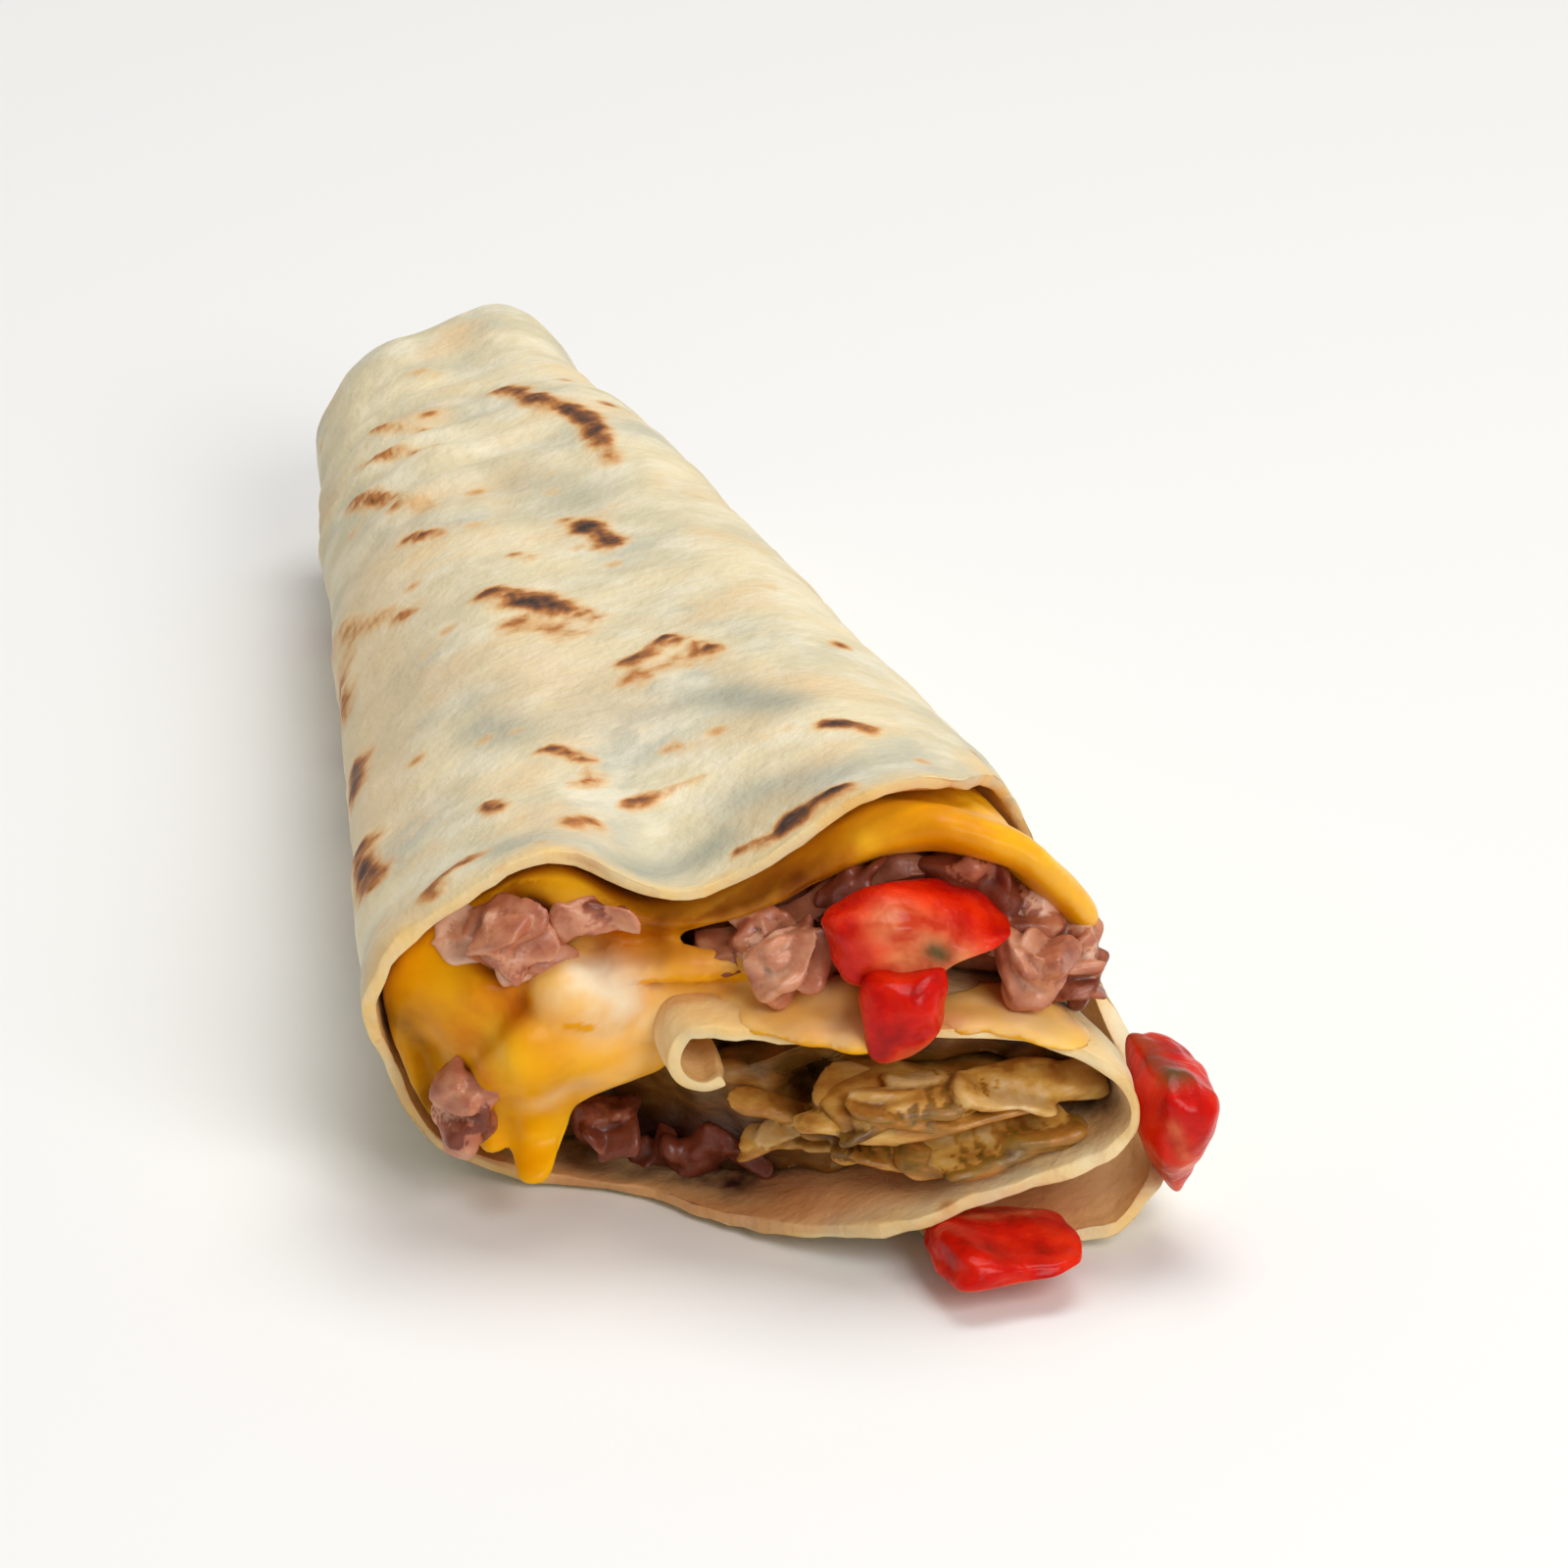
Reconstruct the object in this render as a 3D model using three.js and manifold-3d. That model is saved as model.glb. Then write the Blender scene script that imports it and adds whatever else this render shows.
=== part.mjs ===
// Rolled gozleme: one thin flatbread rolled up, with a wide mouth and a narrow tail, round melted cheese,
// chopped ham, mushroom and red pepper. Millimetres, +Z up. The roll lies along Y with its mouth at -Y,
// and the origin is under the middle of its box, on the surface that it lies on.

import * as THREE from 'three';
import Module from 'manifold-3d';

// Driving dimensions
const ROLL_LENGTH = 150;
const BREAD_THICKNESS = 1.9;
const TAIL_WIDTH_RATIO = 0.4;
const TAIL_HEIGHT_RATIO = 0.64;
const TAPER_END = 1.05;
const CURL_RADIUS = 2.6;
const CURL_TURN_AT_MOUTH = THREE.MathUtils.degToRad(230);
const CURL_TURN_INSIDE = THREE.MathUtils.degToRad(25);
const CURL_DEPTH = 30;
const MOUTH_SKEW = 0.2;
const RIM_DIP = 5;
const RIM_DIP_DEPTH = 34;
const RIM_FLARE = 0.035;
const RIM_FLARE_DEPTH = 12;
const TAIL_CREASE = 0.05;
const TAIL_CREASE_FROM_END = 13;
const TAIL_CREASE_WIDTH = 6;
const CLEARANCE = 0.4;

const HALF_BREAD = BREAD_THICKNESS / 2;
const MOUTH_Y = -ROLL_LENGTH / 2;
const TAIL_Y = ROLL_LENGTH / 2;

// Number of steps round the bread, along it, through the fillings, and round the curl at its inner end
const BREAD_COLUMNS = 64;
const BREAD_ROWS = 16;
const FILLING_ROWS = 12;
const FILLING_LAYERS = 3;
const POCKET_LAYERS = 2;
const CURL_STEPS = 5;

// The middle line of the bread in the plane of the mouth, from its inner end outwards. Each place has
// its x and z, how far the rim there stands out of the mouth, and how far the tail edge runs on.
const BREAD_LINE = [
  { name: 'pocket start', x: -3, z: 20.8, rim: 7.5, tail: -5 },
  { name: 'pocket roof', x: 7, z: 20.8, rim: 9, tail: -5 },
  { name: 'pocket crown', x: 18, z: 21.6, rim: 9, tail: -5 },
  { name: 'pocket shoulder', x: 27, z: 19.2, rim: 8.5, tail: -5 },
  { name: 'pocket bend', x: 31, z: 14.2, rim: 8.5, tail: -5 },
  { name: 'pocket heel', x: 27.5, z: 9.8, rim: 9.5, tail: -5 },
  { name: 'pocket floor', x: 18, z: 6.8, rim: 11, tail: -4 },
  { name: 'pocket slope', x: 10, z: 4, rim: 11, tail: -4 },
  { name: 'floor right', x: 2, z: 1.6, rim: 6, tail: -3 },
  { name: 'floor middle', x: -8, z: HALF_BREAD, rim: -4, tail: -3 },
  { name: 'floor left', x: -17, z: 1.4, rim: -6, tail: -2 },
  { name: 'flank foot', x: -25, z: 5.6, rim: -5, tail: -1 },
  { name: 'flank', x: -28, z: 13.6, rim: -3, tail: 0 },
  { name: 'corner', x: -29.8, z: 21.8, rim: 3.5, tail: 0 },
  { name: 'left slope', x: -23.5, z: 28.6, rim: 2.5, tail: 1 },
  { name: 'left crest', x: -14, z: 33.6, rim: 1, tail: 2 },
  { name: 'rim dip', x: -4, z: 35.2, rim: 2, tail: 3 },
  { name: 'right slope', x: 8, z: 37.5, rim: 0.5, tail: 4 },
  { name: 'right crest', x: 17, z: 38.8, rim: -1.5, tail: 4 },
  { name: 'right shoulder', x: 26, z: 35.8, rim: -14, tail: 2 },
  { name: 'right side', x: 32.5, z: 27.5, rim: -24, tail: 0 },
  { name: 'right flank', x: 37, z: 17, rim: -22, tail: -1 },
  { name: 'right foot', x: 37, z: 8, rim: -5, tail: -2 },
  { name: 'under turn', x: 31.5, z: 2.3, rim: 6, tail: -2 },
  { name: 'under', x: 22, z: HALF_BREAD, rim: 6, tail: -2 },
  { name: 'outer end', x: 14, z: HALF_BREAD, rim: 4, tail: -2 },
];

// Where the cheese ends and the chopped ham begins, from the cheese's lower tip to the right side
const CHEESE_LINE = [
  [-15, 7.5], [-8.5, 13.5], [-8, 20], [-5, 25.5], [4, 29], [14, 33], [22, 32], [28, 26],
];

// The upper side of the pocket's filling, from under the roof to the flank: below the curl at the mouth,
// and up to the bread and the cheese deeper in the roll
const POCKET_TOP_AT_MOUTH = [[4.2, 15], [-3, 12.6], [-10, 9], [-20, 5.2]];
const POCKET_TOP_INSIDE = [[4.2, 18], [-3.5, 16.4], [-10.5, 9], [-20, 5.2]];

const smooth = THREE.MathUtils.smoothstep;
const lerp = THREE.MathUtils.lerp;

// Places along the bread line, from 0 at its inner end to 1 at its outer end
const LINE_STEPS = CURL_STEPS + BREAD_LINE.length - 1;

// The bread's own step nearest to a named place, so that a filling follows the same facets
function columnOf(name) {
  const index = BREAD_LINE.findIndex((point) => point.name === name);
  return Math.round((CURL_STEPS + index) / LINE_STEPS * BREAD_COLUMNS);
}

// Rows lie closer together near the mouth and the tail, where the shape changes most
function rowShare(row) {
  return (1 - Math.cos(Math.PI * row)) / 2;
}

// The inner end curls under itself at the mouth and straightens deeper in the roll
function curlPoints(depth) {
  const start = BREAD_LINE[0];
  const turn = lerp(CURL_TURN_AT_MOUTH, CURL_TURN_INSIDE, smooth(depth, 0, CURL_DEPTH));
  const points = [];
  for (let step = 0; step < CURL_STEPS; step++) {
    const angle = turn * (1 - step / CURL_STEPS);
    const x = start.x - CURL_RADIUS * Math.sin(angle);
    const z = start.z - CURL_RADIUS * (1 - Math.cos(angle));
    points.push(new THREE.Vector3(x, 0, z));
  }
  return points;
}

function breadSection(depth) {
  const points = curlPoints(depth);
  const dip = RIM_DIP * (1 - smooth(depth, 0, RIM_DIP_DEPTH));
  for (const { name, x, z } of BREAD_LINE) {
    const drop = name === 'rim dip' ? dip : 0;
    points.push(new THREE.Vector3(x, 0, z - drop));
  }
  return new THREE.CatmullRomCurve3(points, false, 'catmullrom');
}

// The rim and the tail edge along the bread line
function edgeCurve(key) {
  const first = BREAD_LINE[0][key];
  const values = Array(CURL_STEPS).fill(first).concat(BREAD_LINE.map((point) => point[key]));
  const points = values.map((value, step) => new THREE.Vector3(step, value, 0));
  return new THREE.CatmullRomCurve3(points, false, 'catmullrom');
}

const RIM_EDGE = edgeCurve('rim');
const TAIL_EDGE = edgeCurve('tail');

// The roll tapers evenly from mouth to tail, with a flared rim and one crease near the tail
function taper(point, y) {
  const share = THREE.MathUtils.clamp((y - MOUTH_Y) / ROLL_LENGTH, 0, TAPER_END);
  const fromCrease = (y - (TAIL_Y - TAIL_CREASE_FROM_END)) / TAIL_CREASE_WIDTH;
  const crease = 1 - TAIL_CREASE * Math.exp(-fromCrease * fromCrease);
  const flare = 1 + RIM_FLARE * (1 - smooth(y - MOUTH_Y, 0, RIM_FLARE_DEPTH));
  const across = lerp(1, TAIL_WIDTH_RATIO, share) * crease * flare;
  const up = lerp(1, TAIL_HEIGHT_RATIO, share) * crease * flare;
  const z = HALF_BREAD + Math.max(point.z - HALF_BREAD, 0) * up;
  return new THREE.Vector3(point.x * across, y, z);
}

function breadMiddle(place, y) {
  const section = breadSection(Math.max(y - MOUTH_Y, 0));
  return taper(section.getPoint(place), y);
}

// A point on the bread's face, or off it: a positive offset is outwards from the roll
function breadFace(place, y, offset) {
  const step = 0.002;
  const before = breadMiddle(Math.max(place - step, 0), y);
  const after = breadMiddle(Math.min(place + step, 1), y);
  const along = after.sub(before).normalize();
  const outward = new THREE.Vector3(-along.z, 0, along.x);
  return breadMiddle(place, y).addScaledVector(outward, offset);
}

// A closed block with whole steps along its three own axes, its surface given by place(i, j, k)
function blockGeometry(steps, place) {
  const positions = [];
  const numbers = new Map();
  const triangles = [];
  const vertex = (at) => {
    const key = at.join();
    if (!numbers.has(key)) {
      numbers.set(key, positions.length / 3);
      positions.push(...place(at[0] / steps[0], at[1] / steps[1], at[2] / steps[2]).toArray());
    }
    return numbers.get(key);
  };
  for (let fixed = 0; fixed < 3; fixed++) {
    const a = (fixed + 1) % 3;
    const b = (fixed + 2) % 3;
    for (const end of [0, steps[fixed]]) {
      for (let p = 0; p < steps[a]; p++) {
        for (let q = 0; q < steps[b]; q++) {
          const corner = (dp, dq) => {
            const at = [0, 0, 0];
            at[fixed] = end;
            at[a] = p + dp;
            at[b] = q + dq;
            return vertex(at);
          };
          const ring = [corner(0, 0), corner(1, 0), corner(1, 1), corner(0, 1)];
          if (end === 0) ring.reverse();
          triangles.push(ring[0], ring[1], ring[2], ring[0], ring[2], ring[3]);
        }
      }
    }
  }
  return outwardGeometry(positions, triangles);
}

// Turns every triangle round when the block came out inside out
function outwardGeometry(positions, triangles) {
  const corner = (number) => new THREE.Vector3().fromArray(positions, 3 * number);
  let volume = 0;
  for (let n = 0; n < triangles.length; n += 3) {
    const [a, b, c] = triangles.slice(n, n + 3).map(corner);
    volume += a.dot(b.cross(c));
  }
  const geometry = new THREE.BufferGeometry();
  geometry.setAttribute('position', new THREE.Float32BufferAttribute(positions, 3));
  geometry.setIndex(volume < 0 ? triangles.slice().reverse() : triangles);
  return geometry;
}

// The rolled sheet of bread, grown on every side where it is used to cut other pieces
function breadGeometry(growth) {
  return blockGeometry([BREAD_COLUMNS, 1, BREAD_ROWS], (place, side, row) => {
    const mouth = MOUTH_Y - RIM_EDGE.getPoint(place).y - growth;
    const tail = TAIL_Y + TAIL_EDGE.getPoint(place).y + growth;
    const y = lerp(mouth, tail, rowShare(row));
    return breadFace(place, y, lerp(-1, 1, side) * (HALF_BREAD + growth));
  });
}

function lineCurve(line) {
  const points = line.map(([x, z]) => new THREE.Vector3(x, 0, z));
  return new THREE.CatmullRomCurve3(points, false, 'catmullrom');
}

const CHEESE_CURVE = lineCurve(CHEESE_LINE);
const POCKET_MOUTH_CURVE = lineCurve(POCKET_TOP_AT_MOUTH);
const POCKET_INSIDE_CURVE = lineCurve(POCKET_TOP_INSIDE);

// A point on the line between cheese and ham, moved to one side of it
function cheeseBorder(share, y, offset) {
  const along = CHEESE_CURVE.getTangent(share);
  const outward = new THREE.Vector3(-along.z, 0, along.x);
  return taper(CHEESE_CURVE.getPoint(share), y).addScaledVector(outward, offset);
}

// A point on the upper side of the pocket's filling, left of its roof, which rises behind the curl
const POCKET_TOP_RISE = 12;

function pocketTop(share, y) {
  const inside = smooth(y - MOUTH_Y, CURL_DEPTH, CURL_DEPTH + POCKET_TOP_RISE);
  const point = POCKET_MOUTH_CURVE.getPoint(share).lerp(POCKET_INSIDE_CURVE.getPoint(share), inside);
  return taper(point, y);
}

// A low arch across a filling's front, from 0 at its sides to 1 in the middle
function arch(across) {
  return 4 * across * (1 - across);
}

// Melted cheese under the outer turn: thick at the left, a thin layer over the top, thick again at the right
const CHEESE_TAIL_GAP = 10;
const CHEESE_RECESS = 1.5;
const CHEESE_BULGE = 5;
const CHEESE_BULGE_AT_RIGHT = 2.5;

function cheeseGeometry() {
  const from = columnOf('flank foot') + 1;
  const columns = columnOf('right side') - from;
  return blockGeometry([columns, FILLING_LAYERS, FILLING_ROWS], (share, across, row) => {
    const bulge = lerp(CHEESE_BULGE, CHEESE_BULGE_AT_RIGHT, share) * arch(across);
    const y = lerp(MOUTH_Y + CHEESE_RECESS - bulge, TAIL_Y - CHEESE_TAIL_GAP, rowShare(row));
    const place = (from + share * columns) / BREAD_COLUMNS;
    const outer = breadFace(place, y, -HALF_BREAD - CLEARANCE);
    return outer.lerp(cheeseBorder(share, y, CLEARANCE / 2), across);
  });
}

// Chopped ham and mushroom between the cheese and the pocket's roof
const HAM_TAIL_GAP = 11;
const HAM_RECESS = 2;
const HAM_BULGE = 4;
const HAM_BORDER_FROM = 0.47;

function hamGeometry() {
  const from = columnOf('pocket start');
  const columns = columnOf('pocket shoulder') - from;
  return blockGeometry([columns, FILLING_LAYERS, FILLING_ROWS], (share, across, row) => {
    const front = MOUTH_Y + HAM_RECESS - HAM_BULGE * arch(across);
    const y = lerp(front, TAIL_Y - HAM_TAIL_GAP, rowShare(row));
    const lower = breadFace((from + share * columns) / BREAD_COLUMNS, y, HALF_BREAD + CLEARANCE);
    const border = cheeseBorder(lerp(HAM_BORDER_FROM, 1, share), y, -CLEARANCE / 2);
    return lower.lerp(border, across);
  });
}

// Mushroom and onion in the pocket, set back behind its rim and further back at the left,
// where the mouth has a dark hollow
const POCKET_TAIL_GAP = 12;
const POCKET_PROUD = 1;
const HOLLOW_DEPTH = 14;
const HOLLOW_DEEPEST_AT = 0.85;

function pocketGeometry() {
  const bend = columnOf('pocket bend');
  const columns = columnOf('flank foot') - 1 - bend;
  const roofColumns = bend - columnOf('pocket roof') - 1;
  const roofShare = roofColumns / columns;
  return blockGeometry([columns, POCKET_LAYERS, FILLING_ROWS], (share, across, row) => {
    const front = MOUTH_Y - POCKET_PROUD + HOLLOW_DEPTH * smooth(share, roofShare, HOLLOW_DEEPEST_AT);
    const y = lerp(front, TAIL_Y - POCKET_TAIL_GAP, rowShare(row));
    const floorPlace = (bend + 1 + share * columns) / BREAD_COLUMNS;
    const floor = breadFace(floorPlace, y, -HALF_BREAD - CLEARANCE);
    const roofPlace = (bend - share * columns) / BREAD_COLUMNS;
    const roof = share <= roofShare
      ? breadFace(roofPlace, y, -HALF_BREAD - CLEARANCE)
      : pocketTop((share - roofShare) / (1 - roofShare), y);
    return floor.lerp(roof, across);
  });
}

// A lump of food: a round block, squared off a little and made uneven by slow waves
const LUMP_STEPS = 4;
const LUMP_EVEN_SPACING = 0.72;
const LUMP_CORNERS = 0.25;
const LUMP_UNEVENNESS = 0.06;
const LUMP_WAVES = { x: 3.1, y: 2.7, z: 3.7 };

function lumpGeometry({ size, at, lean, seed }, growth) {
  const spaced = (share) => Math.tan(lerp(-1, 1, share) * LUMP_EVEN_SPACING) / Math.tan(LUMP_EVEN_SPACING);
  const rotation = new THREE.Euler(0, THREE.MathUtils.degToRad(lean), 0);
  return blockGeometry([LUMP_STEPS, LUMP_STEPS, LUMP_STEPS], (i, j, k) => {
    const cube = new THREE.Vector3(spaced(i), spaced(j), spaced(k));
    const round = cube.clone().normalize();
    const waveX = Math.sin(LUMP_WAVES.x * round.x + seed);
    const waveY = Math.sin(LUMP_WAVES.y * round.y - 2 * seed);
    const waveZ = Math.sin(LUMP_WAVES.z * round.z);
    const swell = 1 + LUMP_UNEVENNESS * (waveX + waveY + waveZ);
    const point = round.lerp(cube, LUMP_CORNERS).multiplyScalar(swell);
    point.multiply(new THREE.Vector3(...size).multiplyScalar(0.5).addScalar(growth));
    return point.applyEuler(rotation).add(new THREE.Vector3(at[0], MOUTH_Y - at[1], at[2]));
  });
}

// The pieces that show in the mouth: size in x, y and z, place as x, how far out of the mouth, and z,
// and how many degrees each leans sideways
const PEPPER = { color: 0xc4160e, roughness: 0.3 };
const HAM = { color: 0xc88a76, roughness: 0.5 };
const MUSHROOM = { color: 0xa8763f, roughness: 0.55 };
const PIECES = [
  { name: 'pepper_strip', size: [18, 9, 8], at: [14.5, 4, 29.6], lean: -8, seed: 1, look: PEPPER },
  { name: 'pepper_piece', size: [7.5, 8, 8], at: [12.4, 9, 24], lean: 20, seed: 2, look: PEPPER },
  { name: 'pepper_side', size: [7, 14, 13], at: [36.2, 2.5, 10.8], lean: 0, seed: 3, look: PEPPER },
  { name: 'pepper_under', size: [13, 14, 3.6], at: [20.5, 11, 3.9], lean: -6, seed: 4, look: PEPPER },
  { name: 'ham_left', size: [8, 7, 4.6], at: [-18.5, 2.6, 27.6], lean: -35, seed: 5, look: HAM },
  { name: 'ham_centre', size: [8, 8, 6.5], at: [4.4, 4, 26], lean: -15, seed: 6, look: HAM },
  { name: 'ham_right', size: [8, 8, 7.5], at: [24.4, 4, 26], lean: 20, seed: 7, look: HAM },
  { name: 'ham_hollow', size: [6, 7, 5], at: [-9, -6, 6], lean: -15, seed: 9, look: HAM },
  { name: 'mushroom_upper', size: [20, 12, 3.2], at: [15.5, 4, 14.2], lean: -4, seed: 8, look: MUSHROOM },
  { name: 'mushroom_lower', size: [14, 10, 2.6], at: [19, 4, 10.2], lean: -12, seed: 10, look: MUSHROOM },
];

// Solids that can be joined and cut
const wasm = await Module();
wasm.setup();

function solid(geometry) {
  const vertProperties = new Float32Array(geometry.attributes.position.array);
  const triVerts = new Uint32Array(geometry.index.array);
  return new wasm.Manifold(new wasm.Mesh({ numProp: 3, vertProperties, triVerts }));
}

function largestBody(shape) {
  const bodies = shape.decompose();
  return bodies.reduce((best, body) => (body.volume() > best.volume() ? body : best));
}

function cutBack(shape, neighbours) {
  const cut = neighbours.reduce((rest, neighbour) => rest.subtract(neighbour), shape);
  return largestBody(cut);
}

function solidGeometry(shape) {
  const mesh = shape.getMesh();
  const geometry = new THREE.BufferGeometry();
  geometry.setAttribute('position', new THREE.Float32BufferAttribute(mesh.vertProperties, 3));
  geometry.setIndex(Array.from(mesh.triVerts));
  return geometry;
}

// The roll was torn across at a slant: at the mouth its right side reaches further than its left
function skewMouth(geometry) {
  const position = geometry.attributes.position;
  for (let n = 0; n < position.count; n++) {
    const fromTail = (TAIL_Y - position.getY(n)) / ROLL_LENGTH;
    position.setY(n, position.getY(n) - MOUTH_SKEW * position.getX(n) * fromTail);
  }
}

// The whole gozleme
const gozleme = new THREE.Group();

function addMesh(name, geometry, look) {
  skewMouth(geometry);
  const mesh = new THREE.Mesh(geometry, new THREE.MeshStandardMaterial({ metalness: 0, ...look }));
  mesh.name = name;
  gozleme.add(mesh);
}

addMesh('bread_roll', breadGeometry(0), { color: 0xeadbb8, roughness: 0.65 });

const breadRoom = solid(breadGeometry(CLEARANCE));
const takenRooms = [];
for (const piece of PIECES) {
  const fitted = cutBack(solid(lumpGeometry(piece, 0)), [breadRoom, ...takenRooms]);
  takenRooms.push(solid(lumpGeometry(piece, CLEARANCE)));
  addMesh(piece.name, solidGeometry(fitted), piece.look);
}

const FILLINGS = [
  { name: 'melted_cheese', geometry: cheeseGeometry(), look: { color: 0xedb13c, roughness: 0.35 } },
  { name: 'chopped_ham', geometry: hamGeometry(), look: { color: 0xb9805a, roughness: 0.55 } },
  { name: 'pocket_filling', geometry: pocketGeometry(), look: { color: 0x9a6a3a, roughness: 0.6 } },
];
for (const { name, geometry, look } of FILLINGS) {
  const fitted = cutBack(solid(geometry), takenRooms);
  addMesh(name, solidGeometry(fitted), look);
}

// The origin goes under the middle of the box
const box = new THREE.Box3().setFromObject(gozleme);
const middle = box.getCenter(new THREE.Vector3());
gozleme.position.set(-middle.x, -middle.y, -box.min.z);

export default gozleme;
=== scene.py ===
import math
import random
from collections import namedtuple

import bpy
import numpy as np
from mathutils import Euler, Matrix, Vector, noise
from mathutils.bvhtree import BVHTree
from mathutils.kdtree import KDTree


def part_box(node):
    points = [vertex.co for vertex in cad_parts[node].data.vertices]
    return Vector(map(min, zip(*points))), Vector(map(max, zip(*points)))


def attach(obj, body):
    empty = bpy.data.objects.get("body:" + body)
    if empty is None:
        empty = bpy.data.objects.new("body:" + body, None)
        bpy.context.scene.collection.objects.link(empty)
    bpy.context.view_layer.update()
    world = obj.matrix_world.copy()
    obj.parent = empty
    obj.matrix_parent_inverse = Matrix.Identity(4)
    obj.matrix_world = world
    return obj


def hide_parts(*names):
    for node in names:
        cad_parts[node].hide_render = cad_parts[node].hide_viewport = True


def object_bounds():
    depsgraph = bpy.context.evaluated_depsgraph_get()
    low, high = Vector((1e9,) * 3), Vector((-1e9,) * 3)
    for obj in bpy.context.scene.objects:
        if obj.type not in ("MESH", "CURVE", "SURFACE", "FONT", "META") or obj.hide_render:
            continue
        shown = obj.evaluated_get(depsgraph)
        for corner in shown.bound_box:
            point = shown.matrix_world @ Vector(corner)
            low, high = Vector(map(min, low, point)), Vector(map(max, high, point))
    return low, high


bl_info = {
    "name": "Rolled gozleme",
    "version": (1, 0, 0),
    "blender": (4, 5, 0),
    "location": "View3D > Sidebar > Gozleme",
    "description": "A griddle-baked flatbread rolled round cheese, ham, mushroom and red pepper",
    "category": "Object",
}

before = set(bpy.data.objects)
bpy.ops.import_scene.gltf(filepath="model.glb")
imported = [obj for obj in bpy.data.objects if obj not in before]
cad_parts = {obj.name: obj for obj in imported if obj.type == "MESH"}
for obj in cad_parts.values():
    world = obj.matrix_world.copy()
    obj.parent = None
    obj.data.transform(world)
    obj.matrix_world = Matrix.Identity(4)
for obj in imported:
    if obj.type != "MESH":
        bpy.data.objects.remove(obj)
CAD_LOW, CAD_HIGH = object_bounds()

MM = 0.001
ROOT_BODY = "root"
BREAD = "bread_roll"
FILLINGS = ("melted_cheese", "chopped_ham", "pocket_filling")
NOISE_SEED = 3

# The photograph's camera: the direction that it looks in, one point of the roll with its pixel, how far
# that point is, the size of a pixel there, and how far from a solid a pixel at its edge may miss it
VIEW_AZIMUTH = math.radians(11.5)
VIEW_ELEVATION = math.radians(26.0)
PHOTO_ANCHOR = Vector((0.2, -77.55, 18.0)) * MM
PHOTO_ANCHOR_PIXEL = (1052, 772)
PHOTO_DISTANCE = 800 * MM
PHOTO_PIXEL = 0.36 * MM
EDGE_REACH = 12 * MM

# The stage: the floor, the pixel in the middle of the picture, the camera's sensor in millimetres, and
# the place and the size of each light in metres
FLOOR_SIZE = 6.0
FLOOR_GAP = 0.1 * MM
ROLL_CENTRE_PIXEL = (1047, 701)
SENSOR_WIDTH = 36.0
LIGHT_PLACES = {"key light": (0.15, 0.15, 0.9), "fill light": (0.3, -0.8, 0.6)}
LIGHT_SIZES = {"key light": 0.6, "fill light": 0.5}

# How the sockets of a colour Mix node are numbered, and the settings that many nodes share
MIX_FACTOR = 0
MIX_A = 6
MIX_B = 7
MIX_RESULT = 2
COLOUR_MIX = {"data_type": "RGBA"}
CLAMPED_PRODUCT = {"operation": "MULTIPLY", "use_clamp": True}

# A mark is a short stroke on the surface: the two pixels it runs between, its half width in
# millimetres, and how strong it is, as a share of full colour or as millimetres of height
Mark = namedtuple("Mark", "name start end width amount")

# Where the griddle browned the dough, on the side that the photograph shows
TOAST_MARKS = (
    Mark("tail crease", (981, 609), (1000, 617), 1.5, 0.8),
    Mark("tail crease end", (1000, 616), (1006, 626), 1.4, 0.7),
    Mark("tail left fleck", (962, 604), (966, 605), 1.6, 0.3),
    Mark("first tail arc", (949, 620), (963, 618), 1.0, 0.5),
    Mark("second tail arc", (948, 627), (966, 624), 1.1, 0.55),
    Mark("third tail arc", (947, 636), (957, 634), 1.4, 0.6),
    Mark("third tail arc end", (957, 634), (964, 638), 1.4, 0.34),
    Mark("back right streak", (999, 639), (1007, 645), 1.5, 0.85),
    Mark("upper left fleck", (958, 645), (964, 644), 1.3, 0.68),
    Mark("upper middle fleck", (985, 648), (989, 649), 1.2, 0.5),
    Mark("long middle burn", (980, 657), (994, 660), 1.9, 0.9),
    Mark("long middle burn glow", (984, 663), (996, 666), 2.6, 0.4),
    Mark("long middle burn end", (993, 661), (1003, 662), 1.3, 0.55),
    Mark("flank shoulder streak", (944, 666), (959, 662), 1.5, 0.62),
    Mark("middle burn", (1012, 673), (1019, 669), 1.8, 0.75),
    Mark("middle burn glow", (1013, 677), (1021, 674), 2.6, 0.42),
    Mark("middle burn ridge", (1018, 668), (1031, 670), 1.2, 0.9),
    Mark("right fleck", (1056, 688), (1066, 689), 1.4, 0.75),
    Mark("centre streak", (991, 693), (1000, 696), 1.2, 0.66),
    Mark("centre streak end", (1000, 697), (1003, 701), 1.2, 0.46),
    Mark("centre streak foot", (997, 702), (1001, 701), 1.0, 0.5),
    Mark("faint centre fleck", (1020, 693), (1023, 694), 1.4, 0.34),
    Mark("left dot", (978, 707), (980, 708), 1.3, 0.9),
    Mark("front streak", (1010, 706), (1016, 704), 1.1, 0.68),
    Mark("front streak end", (1016, 703), (1026, 700), 0.9, 0.42),
    Mark("front dot", (997, 710), (1000, 710), 1.5, 0.75),
    Mark("rim burn", (1048, 707), (1060, 702), 1.7, 1.0),
    Mark("rim burn tail", (1036, 714), (1048, 708), 1.2, 0.6),
    Mark("left rim burn", (965, 726), (972, 720), 1.8, 0.85),
    Mark("flank burn", (946, 697), (947, 703), 2.2, 0.8),
    Mark("lower flank burn", (949, 718), (951, 725), 2.3, 0.85),
    Mark("soft flank brown", (943, 668), (944, 684), 2.4, 0.4),
)

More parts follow.
